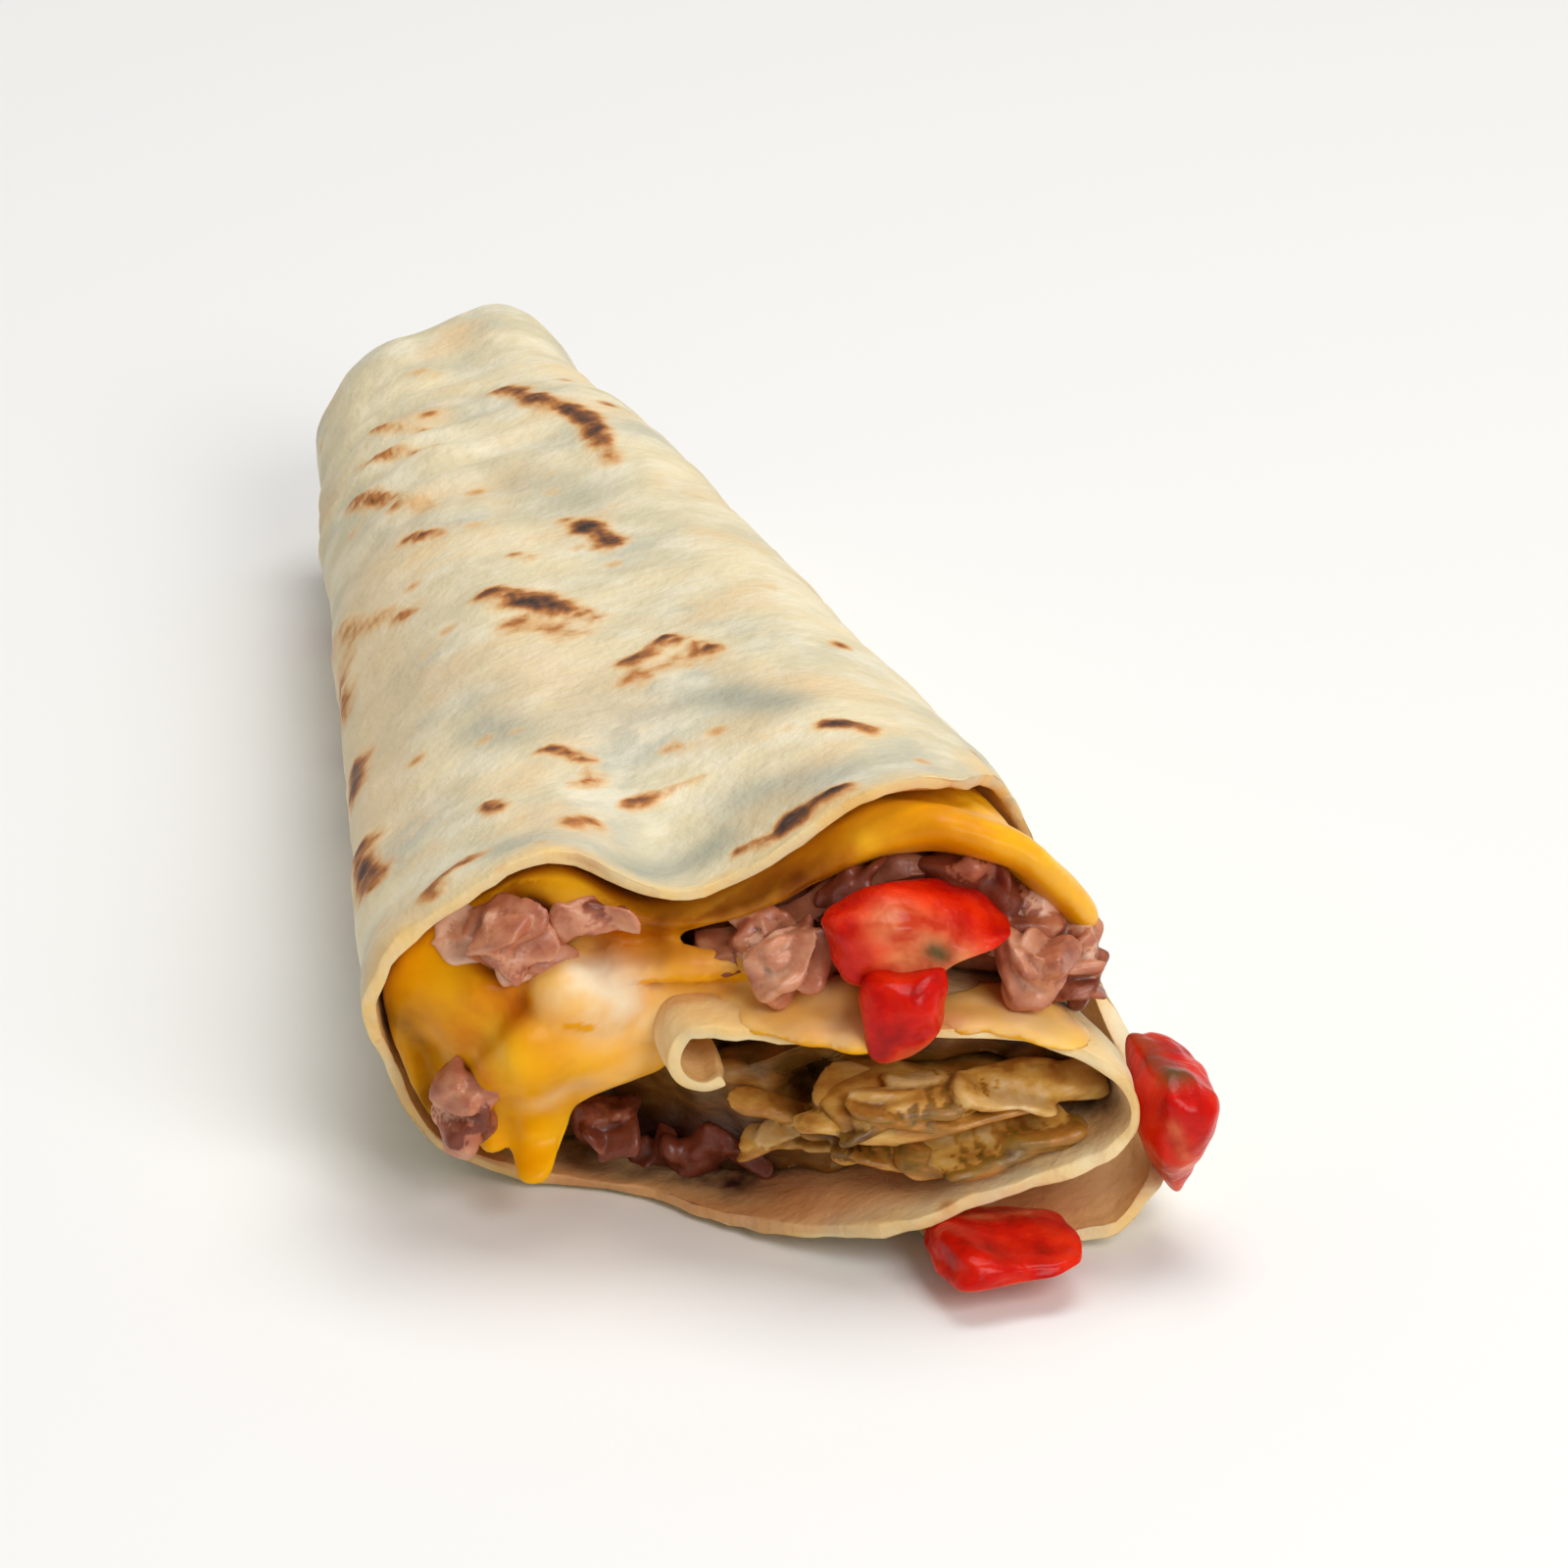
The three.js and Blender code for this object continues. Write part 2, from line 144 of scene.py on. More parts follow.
# Where the dough stayed grey and a little see-through, and grey painted shade in the hollow behind the lip
GREY_MARKS = (
    Mark("right of the middle burn", (1034, 681), (1046, 683), 3.0, 0.9),
    # Grey painted shade in the hollow behind the lip
    Mark("behind the lip", (1012, 718), (1030, 713), 3.0, 0.9),
    Mark("behind the peak", (1036, 704), (1058, 698), 3.0, 0.6),
    Mark("left of centre", (975, 687), (984, 689), 3.0, 0.7),
    Mark("near the tail", (985, 630), (999, 634), 4.0, 0.5),
    Mark("left shoulder", (958, 676), (966, 690), 5.0, 0.2),
    Mark("front left", (980, 716), (992, 714), 3.0, 0.6),
)

# Where the dough is a warmer cream
WARM_MARKS = (
    Mark("left flank", (950, 652), (953, 712), 6.0, 0.5),
    Mark("top middle", (984, 672), (1004, 684), 6.0, 0.4),
)

# Where painted shade darkens the bread in the hollows, the slits and on the left wall inside the mouth, and
# where grease has made it golden, with orange-brown painted shade on the floor band and at the foot of the
# left rim
MOUTH_SHADE_MARKS = (
    Mark("hollow floor", (1012, 793), (1032, 794), 4.5, 1.0),
    Mark("left floor", (984, 788), (1004, 790), 4.5, 0.9),
    Mark("left wall", (955, 764), (962, 780), 5.0, 0.9),
    Mark("pocket end", (1120, 774), (1124, 782), 2.4, 0.7),
    Mark("behind the curl", (1016, 740), (1020, 748), 3.0, 0.5),
    Mark("pocket slit", (1104, 792), (1110, 792), 1.3, 0.9),
)
FAT_AND_SHADE_MARKS = (
    Mark("pocket floor", (1056, 800), (1106, 800), 5.0, 0.75),
    Mark("pocket floor left", (1042, 792), (1052, 800), 4.0, 0.9),
    # Orange-brown painted shade on the floor band under the filling
    Mark("left floor band", (996, 794), (1044, 802), 3.0, 0.8),
    Mark("left rim", (988, 723), (1000, 722), 1.6, 0.6),
    # Orange-brown painted shade at the foot of the left rim
    Mark("left rim low", (961, 766), (976, 789), 3.4, 0.9),
)

# Where melted cheese has coloured the bread
CHEESE_STAIN_MARKS = (
    Mark("roof left", (1042, 751), (1064, 756), 5.0, 0.85),
    Mark("roof right", (1090, 754), (1110, 755), 5.0, 0.85),
    Mark("curl", (1026, 752), (1042, 757), 3.5, 0.6),
    Mark("rim at the peak", (1064, 706), (1092, 704), 1.6, 0.6),
)

# The marks that colour the bread, by the name under which its material reads them
BREAD_MARKS = {
    "grey": GREY_MARKS,
    "warm": WARM_MARKS,
    "mouth_shade": MOUTH_SHADE_MARKS,
    "fat_and_shade": FAT_AND_SHADE_MARKS,
    "cheese_stain": CHEESE_STAIN_MARKS,
}

# The hollow behind the lip of the rim, and the wrinkles that ring the tail with their spacing in millimetres
LIP_HOLLOW = Mark("lip hollow", (1014, 719), (1052, 707), 5.0, 1.3)
TAIL_WRINKLES = Mark("tail wrinkles", (948, 622), (968, 628), 11.0, 0.5)
WRINKLE_SPACING = 7.4

# Swells and dents in the melted cheese, in millimetres towards the camera
CHEESE_FORMS = (
    Mark("left shoulder", (974, 752), (982, 760), 3.4, 1.6),
    Mark("right slab", (1086, 711), (1108, 719), 3.0, 2.2),
    Mark("under the rim", (980, 737), (1012, 737), 2.6, -3.0),
    Mark("left hollow", (963, 764), (967, 778), 2.4, -3.5),
    Mark("behind the legs", (974, 780), (994, 781), 4.0, -6.0),
)

# Where the cheese is pale, with a painted highlight on its mound; where it is amber, with painted shade under
# the rim, the lip and the bridge; and where painted shade darkens it
CHEESE_PALE_AND_HIGHLIGHT = (
    # Painted highlight on the mound
    Mark("pale mound", (1000, 746), (1009, 753), 3.6, 1.0),
    Mark("mound top", (1003, 744), (1012, 748), 2.6, 0.8),
    Mark("curl band", (1014, 757), (1026, 756), 2.6, 0.6),
    Mark("roof left", (1046, 755), (1064, 758), 9.0, 0.36),
    Mark("roof right", (1094, 757), (1110, 755), 9.0, 0.4),
    Mark("lower edge", (990, 776), (1016, 764), 1.6, 0.3),
)
CHEESE_AMBER_AND_SHADE = (
    Mark("orange spot", (978, 751), (984, 754), 2.6, 1.0),
    Mark("left slope", (972, 760), (978, 772), 3.0, 0.8),
    # Orange-brown painted shade under the rim
    Mark("under the rim", (1008, 736), (1016, 736), 3.2, 0.9),
    Mark("slab shade", (1072, 712), (1080, 710), 2.6, 0.6),
    Mark("slab", (1082, 712), (1112, 722), 4.0, 0.25),
    # Orange-brown painted shade at the bridge, under the left rim and under the lip
    Mark("bridge", (1012, 739), (1028, 740), 3.0, 0.6),
    Mark("shade under the rim", (984, 728), (1012, 726), 2.6, 1.0),
    Mark("under the lip", (1014, 733), (1060, 722), 3.0, 0.9),
)
# Dark brown painted shade on the left wall, under the rim and under the lip
CHEESE_SHADE = (
    Mark("left wall", (958, 758), (964, 776), 3.2, 0.6),
    Mark("shade under the rim", (986, 728), (1010, 726), 2.0, 0.6),
    Mark("under the lip", (1016, 733), (1056, 722), 2.4, 0.7),
    Mark("under the rim", (984, 735), (1004, 732), 2.0, 0.6),
)

# Melted runs of cheese: where each starts and ends, its radius at both ends in millimetres, and whether
# it hangs from its start or lies on what is behind it. Each is a row of round blobs.
Run = namedtuple("Run", "name start end radius_start radius_end hangs")
CHEESE_RUNS = (
    Run("pale mound", (996, 749), (1010, 751), 3.6, 3.4, False),
    Run("mound to curl", (1008, 754), (1027, 755), 3.2, 2.4, True),
    Run("yellow middle", (990, 763), (1006, 762), 4.0, 3.2, False),
    Run("lower fold", (996, 769), (1016, 764), 2.8, 1.8, True),
    Run("tongue", (990, 772), (989, 789), 3.4, 1.7, True),
    Run("left strand", (981, 768), (979, 783), 2.4, 1.3, True),
    Run("roof cheese", (1040, 748), (1062, 752), 2.0, 2.4, False),
    Run("curl coat", (1018, 750), (1040, 747), 2.2, 1.6, False),
    Run("bridge to the ham", (1008, 741), (1040, 743), 2.4, 1.2, False),
)
RUN_STEPS = 7
BLOB_SEGMENTS = 16
BLOB_RINGS = 10

# Thin films of melted cheese that lie flat on the bread of the pocket's roof: where each starts and ends,
# and its radius and thickness in millimetres
Film = namedtuple("Film", "name start end radius thickness")
CHEESE_FILMS = (
    Film("left of the pepper", (1042, 751), (1066, 755), 5.0, 1.0),
    Film("right of the pepper", (1088, 752), (1106, 753), 5.0, 1.0),
)
FILM_STEPS = 13
FILM_SEED = 4

# Places in the mouth where small chopped bits lie: the middle and the half width and height in pixels,
# how many lie there, how much lighter or darker they are, and their size as a share of the usual one
Patch = namedtuple("Patch", "name middle reach count tone scale")
INNER_HAM_PATCHES = (
    Patch("between cheese and pepper", (1048, 738), (13, 7), 20, 0.16, 1.0),
    Patch("right of the pepper", (1108, 738), (10, 7), 14, 0.12, 1.0),
    # The darker tone here is painted shade between the cheese and the pepper
    Patch("above the pepper", (1080, 724), (22, 4), 16, -0.35, 1.0),
)
OUTER_HAM_PATCHES = (
    Patch("under the left rim", (981, 739), (14, 5), 17, 0.22, 0.85),
    Patch("left rim crust", (1000, 732), (9, 2), 7, 0.0, 0.7),
    # The dark tone here is painted shade in the hollow
    Patch("hollow", (1026, 788), (14, 5), 13, -0.6, 0.8),
    Patch("left foot", (972, 777), (5, 9), 11, -0.05, 0.8),
)
MUSHROOM_PATCHES = (
    Patch("pocket top", (1088, 770), (22, 4), 7, 0.1, 1.0),
    Patch("pocket middle", (1086, 780), (22, 5), 9, 0.0, 1.0),
    Patch("pocket left", (1057, 782), (7, 6), 6, 0.14, 0.8),
    Patch("pocket front", (1084, 786), (20, 3), 6, 0.06, 0.9),
)

# Gaps in the pocket's filling, in millimetres away from the camera as a minus, and where it is dark
POCKET_GAPS = (
    Mark("upper left gap", (1054, 771), (1066, 769), 2.4, -6.0),
    Mark("right gap", (1113, 769), (1118, 772), 2.4, -6.0),
)
POCKET_SHADE = (
    Mark("behind the hollow", (1006, 780), (1040, 786), 6.0, 1.0),
)

# Where the pale flesh of a pepper shows in its red skin, where a small dark green-grey spot lies on it, and
# how dark its upper tip is
PEPPER_FLESH = {
    "pepper_arch": (
        Mark("pale middle", (1073, 733), (1083, 740), 2.4, 0.85),
        Mark("pale lower side", (1076, 742), (1086, 743), 2.2, 1.0),
    ),
    "pepper_right": (Mark("pale streak", (1138, 781), (1141, 788), 0.8, 0.5),),
    "pepper_below": (Mark("pale edge", (1092, 802), (1104, 801), 1.0, 0.7),),
}
PEPPER_DARK_SPOTS = {"pepper_arch": (Mark("dark spot", (1082, 740), (1084, 741), 0.9, 0.9),)}
CHARRED_TIPS = {"pepper_right": 0.9}

# A larger piece of food: its CAD node and its name, the start of its noise, how round it is, how far it
# bends in degrees, how much it narrows downwards, its folds and wrinkles in millimetres, and its tone
Lump = namedtuple("Lump", "node name start roundness bend taper fold wrinkle tone")
PEPPER_LUMPS = (
    Lump("pepper_strip", "pepper_arch", 7, 0.55, 80, 0.0, 1.9, 0.3, 0.0),
    Lump("pepper_piece", "pepper_end", 2, 0.7, 0, 0.3, 1.8, 0.3, 0.0),
    Lump("pepper_side", "pepper_right", 5, 0.6, 30, 1.4, 1.2, 0.3, 0.0),
    Lump("pepper_under", "pepper_below", 4, 0.8, 45, 0.0, 2.0, 0.3, 0.0),
)
MUSHROOM_LUMPS = (
    Lump("mushroom_upper", "mushroom_slice_upper", 30, 0.3, 25, 0.0, 2.2, 0.0, 0.12),
    Lump("mushroom_lower", "mushroom_slice_lower", 31, 0.3, 25, 0.0, 2.2, 0.0, 0.02),
)

# A clump of torn ham: its CAD node and its name, the start of its choices, and its tone
Clump = namedtuple("Clump", "node name seed tone")
HAM_CLUMPS = (
    Clump("ham_left", "ham_chunk_left", 20, 0.02),
    Clump("ham_centre", "ham_chunk_centre", 40, 0.14),
    Clump("ham_right", "ham_chunk_right", 60, 0.08),
    # The dark tone of the clump in the hollow is painted shade
    Clump("ham_hollow", "ham_chunk_hollow", 80, -0.3),
)

# Small scraps of one kind: their name, the start of their choices, the least and the most of their length,
# width and thickness in millimetres, how far they tilt, how uneven they are, and whether they lie in layers
Scraps = namedtuple("Scraps", "name seed sizes tilt raggedness layered")
HAM_SIZES = ((3.6, 7.0), (2.6, 4.6), (1.2, 2.0))
STRIP_SIZES = ((8.0, 15.0), (3.0, 5.0), (0.9, 1.5))
HAM_RAGGEDNESS = 0.15
STRIP_RAGGEDNESS = 0.07
PACKED_HAM = Scraps("ham_bit", 3, HAM_SIZES, math.radians(80), HAM_RAGGEDNESS, False)
POCKET_STRIPS = Scraps("mushroom_strip", 5, STRIP_SIZES, math.radians(17), STRIP_RAGGEDNESS, True)
LOOSE_HAM = Scraps("ham_bits", 7, HAM_SIZES, math.radians(40), HAM_RAGGEDNESS, False)

# How many scraps lie on the right side of the ham, and how finely scraps are merged
SIDE_SCRAPS = 26
SCRAP_VOXEL_MM = 0.3

# Waves on a surface: their size in millimetres, their height as a share of a setting or in millimetres,
# and the start of their noise
Wave = namedtuple("Wave", "size_mm height start")
DOUGH_WAVES = (Wave(6.5, 1.0, 0.0), Wave(2.6, 0.45, 9.0))
RIM_WAVES = (Wave(7.0, 1.0, 2.0), Wave(2.4, 0.5, 6.0))
CHEESE_WAVES = (Wave(7.0, 0.5, 3.0), Wave(3.0, 0.2, 5.0))

# The wave that makes the tail's wrinkles wander; its height is an angle in radians
WRINKLE_WAVE = Wave(9.0, 2.0, 4.0)


# Colours and nodes

def linear(hex_colour):
    """An sRGB hex colour as linear red, green and blue."""
    channels = [int(hex_colour[place:place + 2], 16) / 255 for place in (0, 2, 4)]
    return tuple(c / 12.92 if c <= 0.04045 else ((c + 0.055) / 1.055) ** 2.4 for c in channels)


def opaque(colour):
    """A linear colour with full alpha."""
    return (*colour, 1.0)


def paint(hex_colour):
    """An sRGB hex colour as a linear colour with full alpha."""
    return opaque(linear(hex_colour))


def plain_grey(value):
    """A grey of that linear value."""
    return (value, value, value)


def per_size(size_mm):
    """The texture scale at which one feature is that many millimetres."""
    return 1.0 / (size_mm * MM)


def plug_in(owner, made, inputs):
    """Gives a node its inputs: the output of another node is linked, anything else is a fixed value."""
    for socket, source in inputs.items():
        if isinstance(source, bpy.types.NodeSocket):
            owner.node_tree.links.new(source, made.inputs[socket])
        else:
            made.inputs[socket].default_value = source


def add_node(material, kind, output, settings=None, inputs=None, stops=()):
    """Adds a node with its settings, inputs and, on a colour ramp, its stops. Gives one of its outputs."""
    made = material.node_tree.nodes.new(kind)
    for name, value in (settings or {}).items():
        setattr(made, name, value)
    plug_in(material, made, inputs or {})
    if stops:
        elements = made.color_ramp.elements
        while len(elements) < len(stops):
            elements.new(1.0)
        for element, (place, colour) in zip(elements, stops):
            element.position = place
            element.color = opaque(colour)
    return made.outputs[output]


def lay_colours(material, under, layers, patches=None):
    """Lays colours over another, each where the mark of its name is strong, in patches if these are given."""
    for mark, hex_colour in layers.items():
        share = add_node(material, "ShaderNodeAttribute", "Fac", {"attribute_name": mark})
        if patches is not None:
            share = add_node(material, "ShaderNodeMath", 0, CLAMPED_PRODUCT, {0: share, 1: patches})
        under = add_node(material, "ShaderNodeMix", MIX_RESULT, COLOUR_MIX, {
            MIX_FACTOR: share, MIX_A: under, MIX_B: paint(hex_colour)})
    return under


def new_material(name):
    """An empty node material and its shader."""
    material = bpy.data.materials.new(name)
    material.use_nodes = True
    return material, material.node_tree.nodes["Principled BSDF"]


def griddle_burn(material, coords, clouds):
    """How brown the dough is: burns with wandering, ragged edges, and small flecks between them."""
    wander_reach = 1.9
    fleck_mm = 7.5
    fleck_fade = -3.6
    fleck_strength = 0.85
    ragged_share = 0.8
    ragged_least = 0.55
    gap = add_node(material, "ShaderNodeAttribute", "Fac", {"attribute_name": "toast_gap"})
    shifted = add_node(material, "ShaderNodeMath", 0, {"operation": "MULTIPLY_ADD"}, {
        0: clouds["wander"], 1: wander_reach, 2: gap})
    from_burn = add_node(material, "ShaderNodeMath", 0, {"operation": "SUBTRACT"}, {
        0: shifted, 1: wander_reach / 2})
    square = add_node(material, "ShaderNodeMath", 0, {"operation": "MULTIPLY"}, {0: from_burn, 1: from_burn})
    fall = add_node(material, "ShaderNodeMath", 0, {"operation": "MULTIPLY"}, {0: square, 1: -1.0})
    toast = add_node(material, "ShaderNodeMath", 0, {"operation": "EXPONENT"}, {0: fall})
    fleck_gap = add_node(material, "ShaderNodeTexVoronoi", "Distance", inputs={
        "Vector": coords, "Scale": per_size(fleck_mm)})
    fleck_tone = add_node(material, "ShaderNodeSeparateColor", "Red", inputs={
        "Color": fleck_gap.node.outputs["Color"]})
    flecks = add_node(material, "ShaderNodeMath", 0, {"operation": "MULTIPLY_ADD"}, {
        0: fleck_gap, 1: fleck_fade, 2: fleck_strength})
    fleck_share = add_node(material, "ShaderNodeMath", 0, CLAMPED_PRODUCT, {0: flecks, 1: fleck_tone})
    burnt = add_node(material, "ShaderNodeMath", 0, {"operation": "MAXIMUM"}, {0: toast, 1: fleck_share})
    edge = add_node(material, "ShaderNodeMath", 0, {"operation": "MULTIPLY_ADD"}, {
        0: clouds["ragged"], 1: ragged_share, 2: ragged_least})
    return add_node(material, "ShaderNodeMath", 0, CLAMPED_PRODUCT, {0: burnt, 1: edge})


def bread_material(settings):
    """Unleavened wheat dough rolled thin and baked dry on a griddle.

    It shows floury cream, cooler grey where the dough is thin, and brown blisters with orange edges, with
    painted shade behind the lip and in the hollows of the mouth.
    """
    cloud_sizes_mm = {"drift": 15, "flour": 4.5, "warmth": 11, "wander": 4.0, "ragged": 1.6, "grain": 1.1}
    cloud_detail = {"drift": 4.0, "flour": 5.0, "warmth": 4.0, "wander": 4.0, "ragged": 3.0, "grain": 5.0}
    bubble_mm = 3.2
    material, shader = new_material("Wheat flatbread, griddle-baked")
    coords = add_node(material, "ShaderNodeTexCoord", "Object")
    clouds = {}
    for name, size_mm in cloud_sizes_mm.items():
        clouds[name] = add_node(material, "ShaderNodeTexNoise", "Fac", inputs={
            "Vector": coords, "Scale": per_size(size_mm), "Detail": cloud_detail[name]})
    dough = add_node(material, "ShaderNodeValToRGB", "Color", inputs={"Fac": clouds["drift"]}, stops=(
        (0.34, linear("CDC8B0")), (0.47, settings.cream), (0.6, linear("F3E2B8"))))
    flour_share = add_node(material, "ShaderNodeValToRGB", "Color", inputs={"Fac": clouds["flour"]}, stops=(
        (0.45, plain_grey(0.0)), (0.66, plain_grey(0.6))))
    floured = add_node(material, "ShaderNodeMix", MIX_RESULT, COLOUR_MIX, {
        MIX_FACTOR: flour_share, MIX_A: dough, MIX_B: paint("F8EED2")})
    warm_share = add_node(material, "ShaderNodeValToRGB", "Color", inputs={"Fac": clouds["warmth"]}, stops=(
        (0.52, plain_grey(0.0)), (0.7, plain_grey(0.7))))
    warm_mark = add_node(material, "ShaderNodeAttribute", "Fac", {"attribute_name": "warm"})
    warmth = add_node(material, "ShaderNodeMath", 0, {"operation": "MAXIMUM"}, {0: warm_share, 1: warm_mark})
    warmed = add_node(material, "ShaderNodeMix", MIX_RESULT, COLOUR_MIX, {
        MIX_FACTOR: warmth, MIX_A: floured, MIX_B: paint("EFCB97")})
    # Grey where the dough is thin, with grey painted shade behind the lip
    greyed = lay_colours(material, warmed, {"grey": "ABA994"})
    rim_patches = add_node(material, "ShaderNodeMapRange", "Result", inputs={
        "Value": clouds["flour"], "From Min": 0.35, "From Max": 0.65, "To Min": 0.25, "To Max": 1.0})
    rimmed = lay_colours(material, greyed, {"rim": "F0C97E"}, rim_patches)
    # The golden inner side, grease and cheese, with orange-brown painted shade on the floor band and at the
    # foot of the left rim
    soaked_and_shaded = lay_colours(material, rimmed, {"inside": "E0AA62", "fat_and_shade": "D08A54", "cheese_stain": "EFBC5E"})
    burn = griddle_burn(material, coords, clouds)
    burn_share = add_node(material, "ShaderNodeValToRGB", "Color", inputs={"Fac": burn}, stops=(
        (0.07, plain_grey(0.0)), (0.25, plain_grey(0.5)), (0.5, plain_grey(1.0))))
    burn_colour = add_node(material, "ShaderNodeValToRGB", "Color", inputs={"Fac": burn}, stops=(
        (0.07, linear("F4D6A2")), (0.3, linear("E6AE66")), (0.52, linear("C07A38")),
        (0.72, linear("7E4A22")), (0.95, linear("3A2216"))))
    browned = add_node(material, "ShaderNodeMix", MIX_RESULT, COLOUR_MIX, {
        MIX_FACTOR: burn_share, MIX_A: soaked_and_shaded, MIX_B: burn_colour})
    # Dark maroon painted shade in the hollows of the mouth, broken into patches
    mouth_shade_patches = add_node(material, "ShaderNodeMapRange", "Result", inputs={
        "Value": clouds["wander"], "From Min": 0.36, "From Max": 0.62, "To Min": 0.6, "To Max": 1.4})
    colour = lay_colours(material, browned, {"mouth_shade": "3A0D07"}, mouth_shade_patches)
    bubbles = add_node(material, "ShaderNodeTexVoronoi", "Distance", {"feature": "SMOOTH_F1"}, {
        "Vector": coords, "Scale": per_size(bubble_mm)})
    surface = add_node(material, "ShaderNodeMath", 0, {"operation": "SUBTRACT"}, {
        0: clouds["grain"], 1: bubbles})
    bump = add_node(material, "ShaderNodeBump", "Normal", inputs={
        "Height": surface, "Strength": 0.5, "Distance": 0.5 * MM})
    dryness = add_node(material, "ShaderNodeMapRange", "Result", inputs={
        "Value": clouds["warmth"], "To Min": 0.5, "To Max": 0.78})
    plug_in(material, shader, {
        "Base Color": colour, "Roughness": dryness, "Normal": bump, "Subsurface Weight": 0.12,
        "Subsurface Radius": (1.0, 0.7, 0.4), "Subsurface Scale": 1.2 * MM})
    return material


def cheese_material(settings):
    """Melted yellow cheese, set as it cooled: wet sheen, paler in patches with a painted highlight on its
    mound, amber where it browned, and painted shade under the rim and in its creases.
    """
    cloud_sizes_mm = {"drift": 9, "clots": 4, "ripple": 2.5}
    cloud_detail = {"drift": 3.0, "clots": 3.0, "ripple": 2.0}
    material, shader = new_material("Yellow cheese, melted")
    coords = add_node(material, "ShaderNodeTexCoord", "Object")
    clouds = {}
    for name, size_mm in cloud_sizes_mm.items():
        clouds[name] = add_node(material, "ShaderNodeTexNoise", "Fac", inputs={
            "Vector": coords, "Scale": per_size(size_mm), "Detail": cloud_detail[name]})
    body = add_node(material, "ShaderNodeValToRGB", "Color", inputs={"Fac": clouds["drift"]}, stops=(
        (0.33, linear("E89A00")), (0.5, settings.cheese), (0.68, linear("FFC01C"))))
    clot_patches = add_node(material, "ShaderNodeMapRange", "Result", inputs={
        "Value": clouds["clots"], "From Min": 0.3, "From Max": 0.7, "To Min": 0.5, "To Max": 1.3})
    # Pale patches with a painted highlight, amber with painted shade under the rim, and dark brown painted
    # shade
    colour = lay_colours(material, body, {"pale": "FAE6C2", "amber": "C86A06", "browned": "5A2C0C"},
                         clot_patches)
    bump = add_node(material, "ShaderNodeBump", "Normal", inputs={
        "Height": clouds["ripple"], "Strength": 0.25, "Distance": 0.4 * MM})
    plug_in(material, shader, {
        "Base Color": colour, "Normal": bump, "Roughness": 0.3, "Specular IOR Level": 0.12,
        "Subsurface Weight": 0.2, "Subsurface Radius": (1.0, 0.6, 0.2), "Subsurface Scale": 2.5 * MM})
    return material


def pepper_material(settings):
    """Red pepper softened in the pan: a wet, glossy skin and a paler orange flesh where it was cut."""
    drift_mm = 4
    ripple_mm = 1.6
    material, shader = new_material("Red pepper, fried")
    coords = add_node(material, "ShaderNodeTexCoord", "Object")
    drift = add_node(material, "ShaderNodeTexNoise", "Fac", inputs={
        "Vector": coords, "Scale": per_size(drift_mm), "Detail": 3.0})
    skin = add_node(material, "ShaderNodeValToRGB", "Color", inputs={"Fac": drift}, stops=(
        (0.3, linear("9A0803")), (0.48, settings.pepper), (0.66, linear("E42A06"))))
    inside = add_node(material, "ShaderNodeValToRGB", "Color", inputs={"Fac": drift}, stops=(
        (0.38, linear("C8401C")), (0.62, linear("EA9A62"))))
    flesh = add_node(material, "ShaderNodeAttribute", "Fac", {"attribute_name": "flesh"})
    cut = add_node(material, "ShaderNodeMix", MIX_RESULT, COLOUR_MIX, {
        MIX_FACTOR: flesh, MIX_A: skin, MIX_B: inside})
    colour = lay_colours(material, cut, {"charred": "3E4A22"})
    ripple = add_node(material, "ShaderNodeTexNoise", "Fac", inputs={
        "Vector": coords, "Scale": per_size(ripple_mm), "Detail": 2.0})
    bump = add_node(material, "ShaderNodeBump", "Normal", inputs={
        "Height": ripple, "Strength": 0.5, "Distance": 0.6 * MM})
    plug_in(material, shader, {
        "Base Color": colour, "Normal": bump, "Roughness": 0.3, "Specular IOR Level": 0.14,
        "Coat Weight": 0.1, "Coat Roughness": 0.12, "Subsurface Weight": 0.05,
        "Subsurface Scale": 1.5 * MM})
    return material


def minced_material(name, stops, layering, roughness):
    """Chopped and fried filling: each scrap has its own tone, with fibres and a greasy sheen."""
    streak_mm = 3.0
    streak_share = 0.9
    fibre_mm = 0.9
    material, shader = new_material(name)
    coords = add_node(material, "ShaderNodeTexCoord", "Object")
    layered = add_node(material, "ShaderNodeVectorMath", "Vector", {"operation": "MULTIPLY"}, {
        0: coords, 1: (1.0, 1.0, layering)})
    streaks = add_node(material, "ShaderNodeTexNoise", "Fac", inputs={
        "Vector": layered, "Scale": per_size(streak_mm), "Detail": 5.0})
    tone = add_node(material, "ShaderNodeAttribute", "Fac", {"attribute_name": "tone"})
    mixed = add_node(material, "ShaderNodeMath", 0, {"operation": "MULTIPLY_ADD"}, {
        0: streaks, 1: streak_share, 2: tone})
    body = add_node(material, "ShaderNodeValToRGB", "Color", inputs={"Fac": mixed}, stops=stops)
    # Dark brown: an even tint on the chopped masses, and painted shade in the creases and where the shade
    # marks lie
    colour = lay_colours(material, body, {"browned": "34110A"})
    fibre = add_node(material, "ShaderNodeTexNoise", "Fac", inputs={
        "Vector": layered, "Scale": per_size(fibre_mm), "Detail": 4.0})
    bump = add_node(material, "ShaderNodeBump", "Normal", inputs={
        "Height": fibre, "Strength": 0.35, "Distance": 0.3 * MM})
    plug_in(material, shader, {
        "Base Color": colour, "Normal": bump, "Roughness": roughness, "Subsurface Weight": 0.1,
        "Subsurface Scale": 1.2 * MM})
    return material


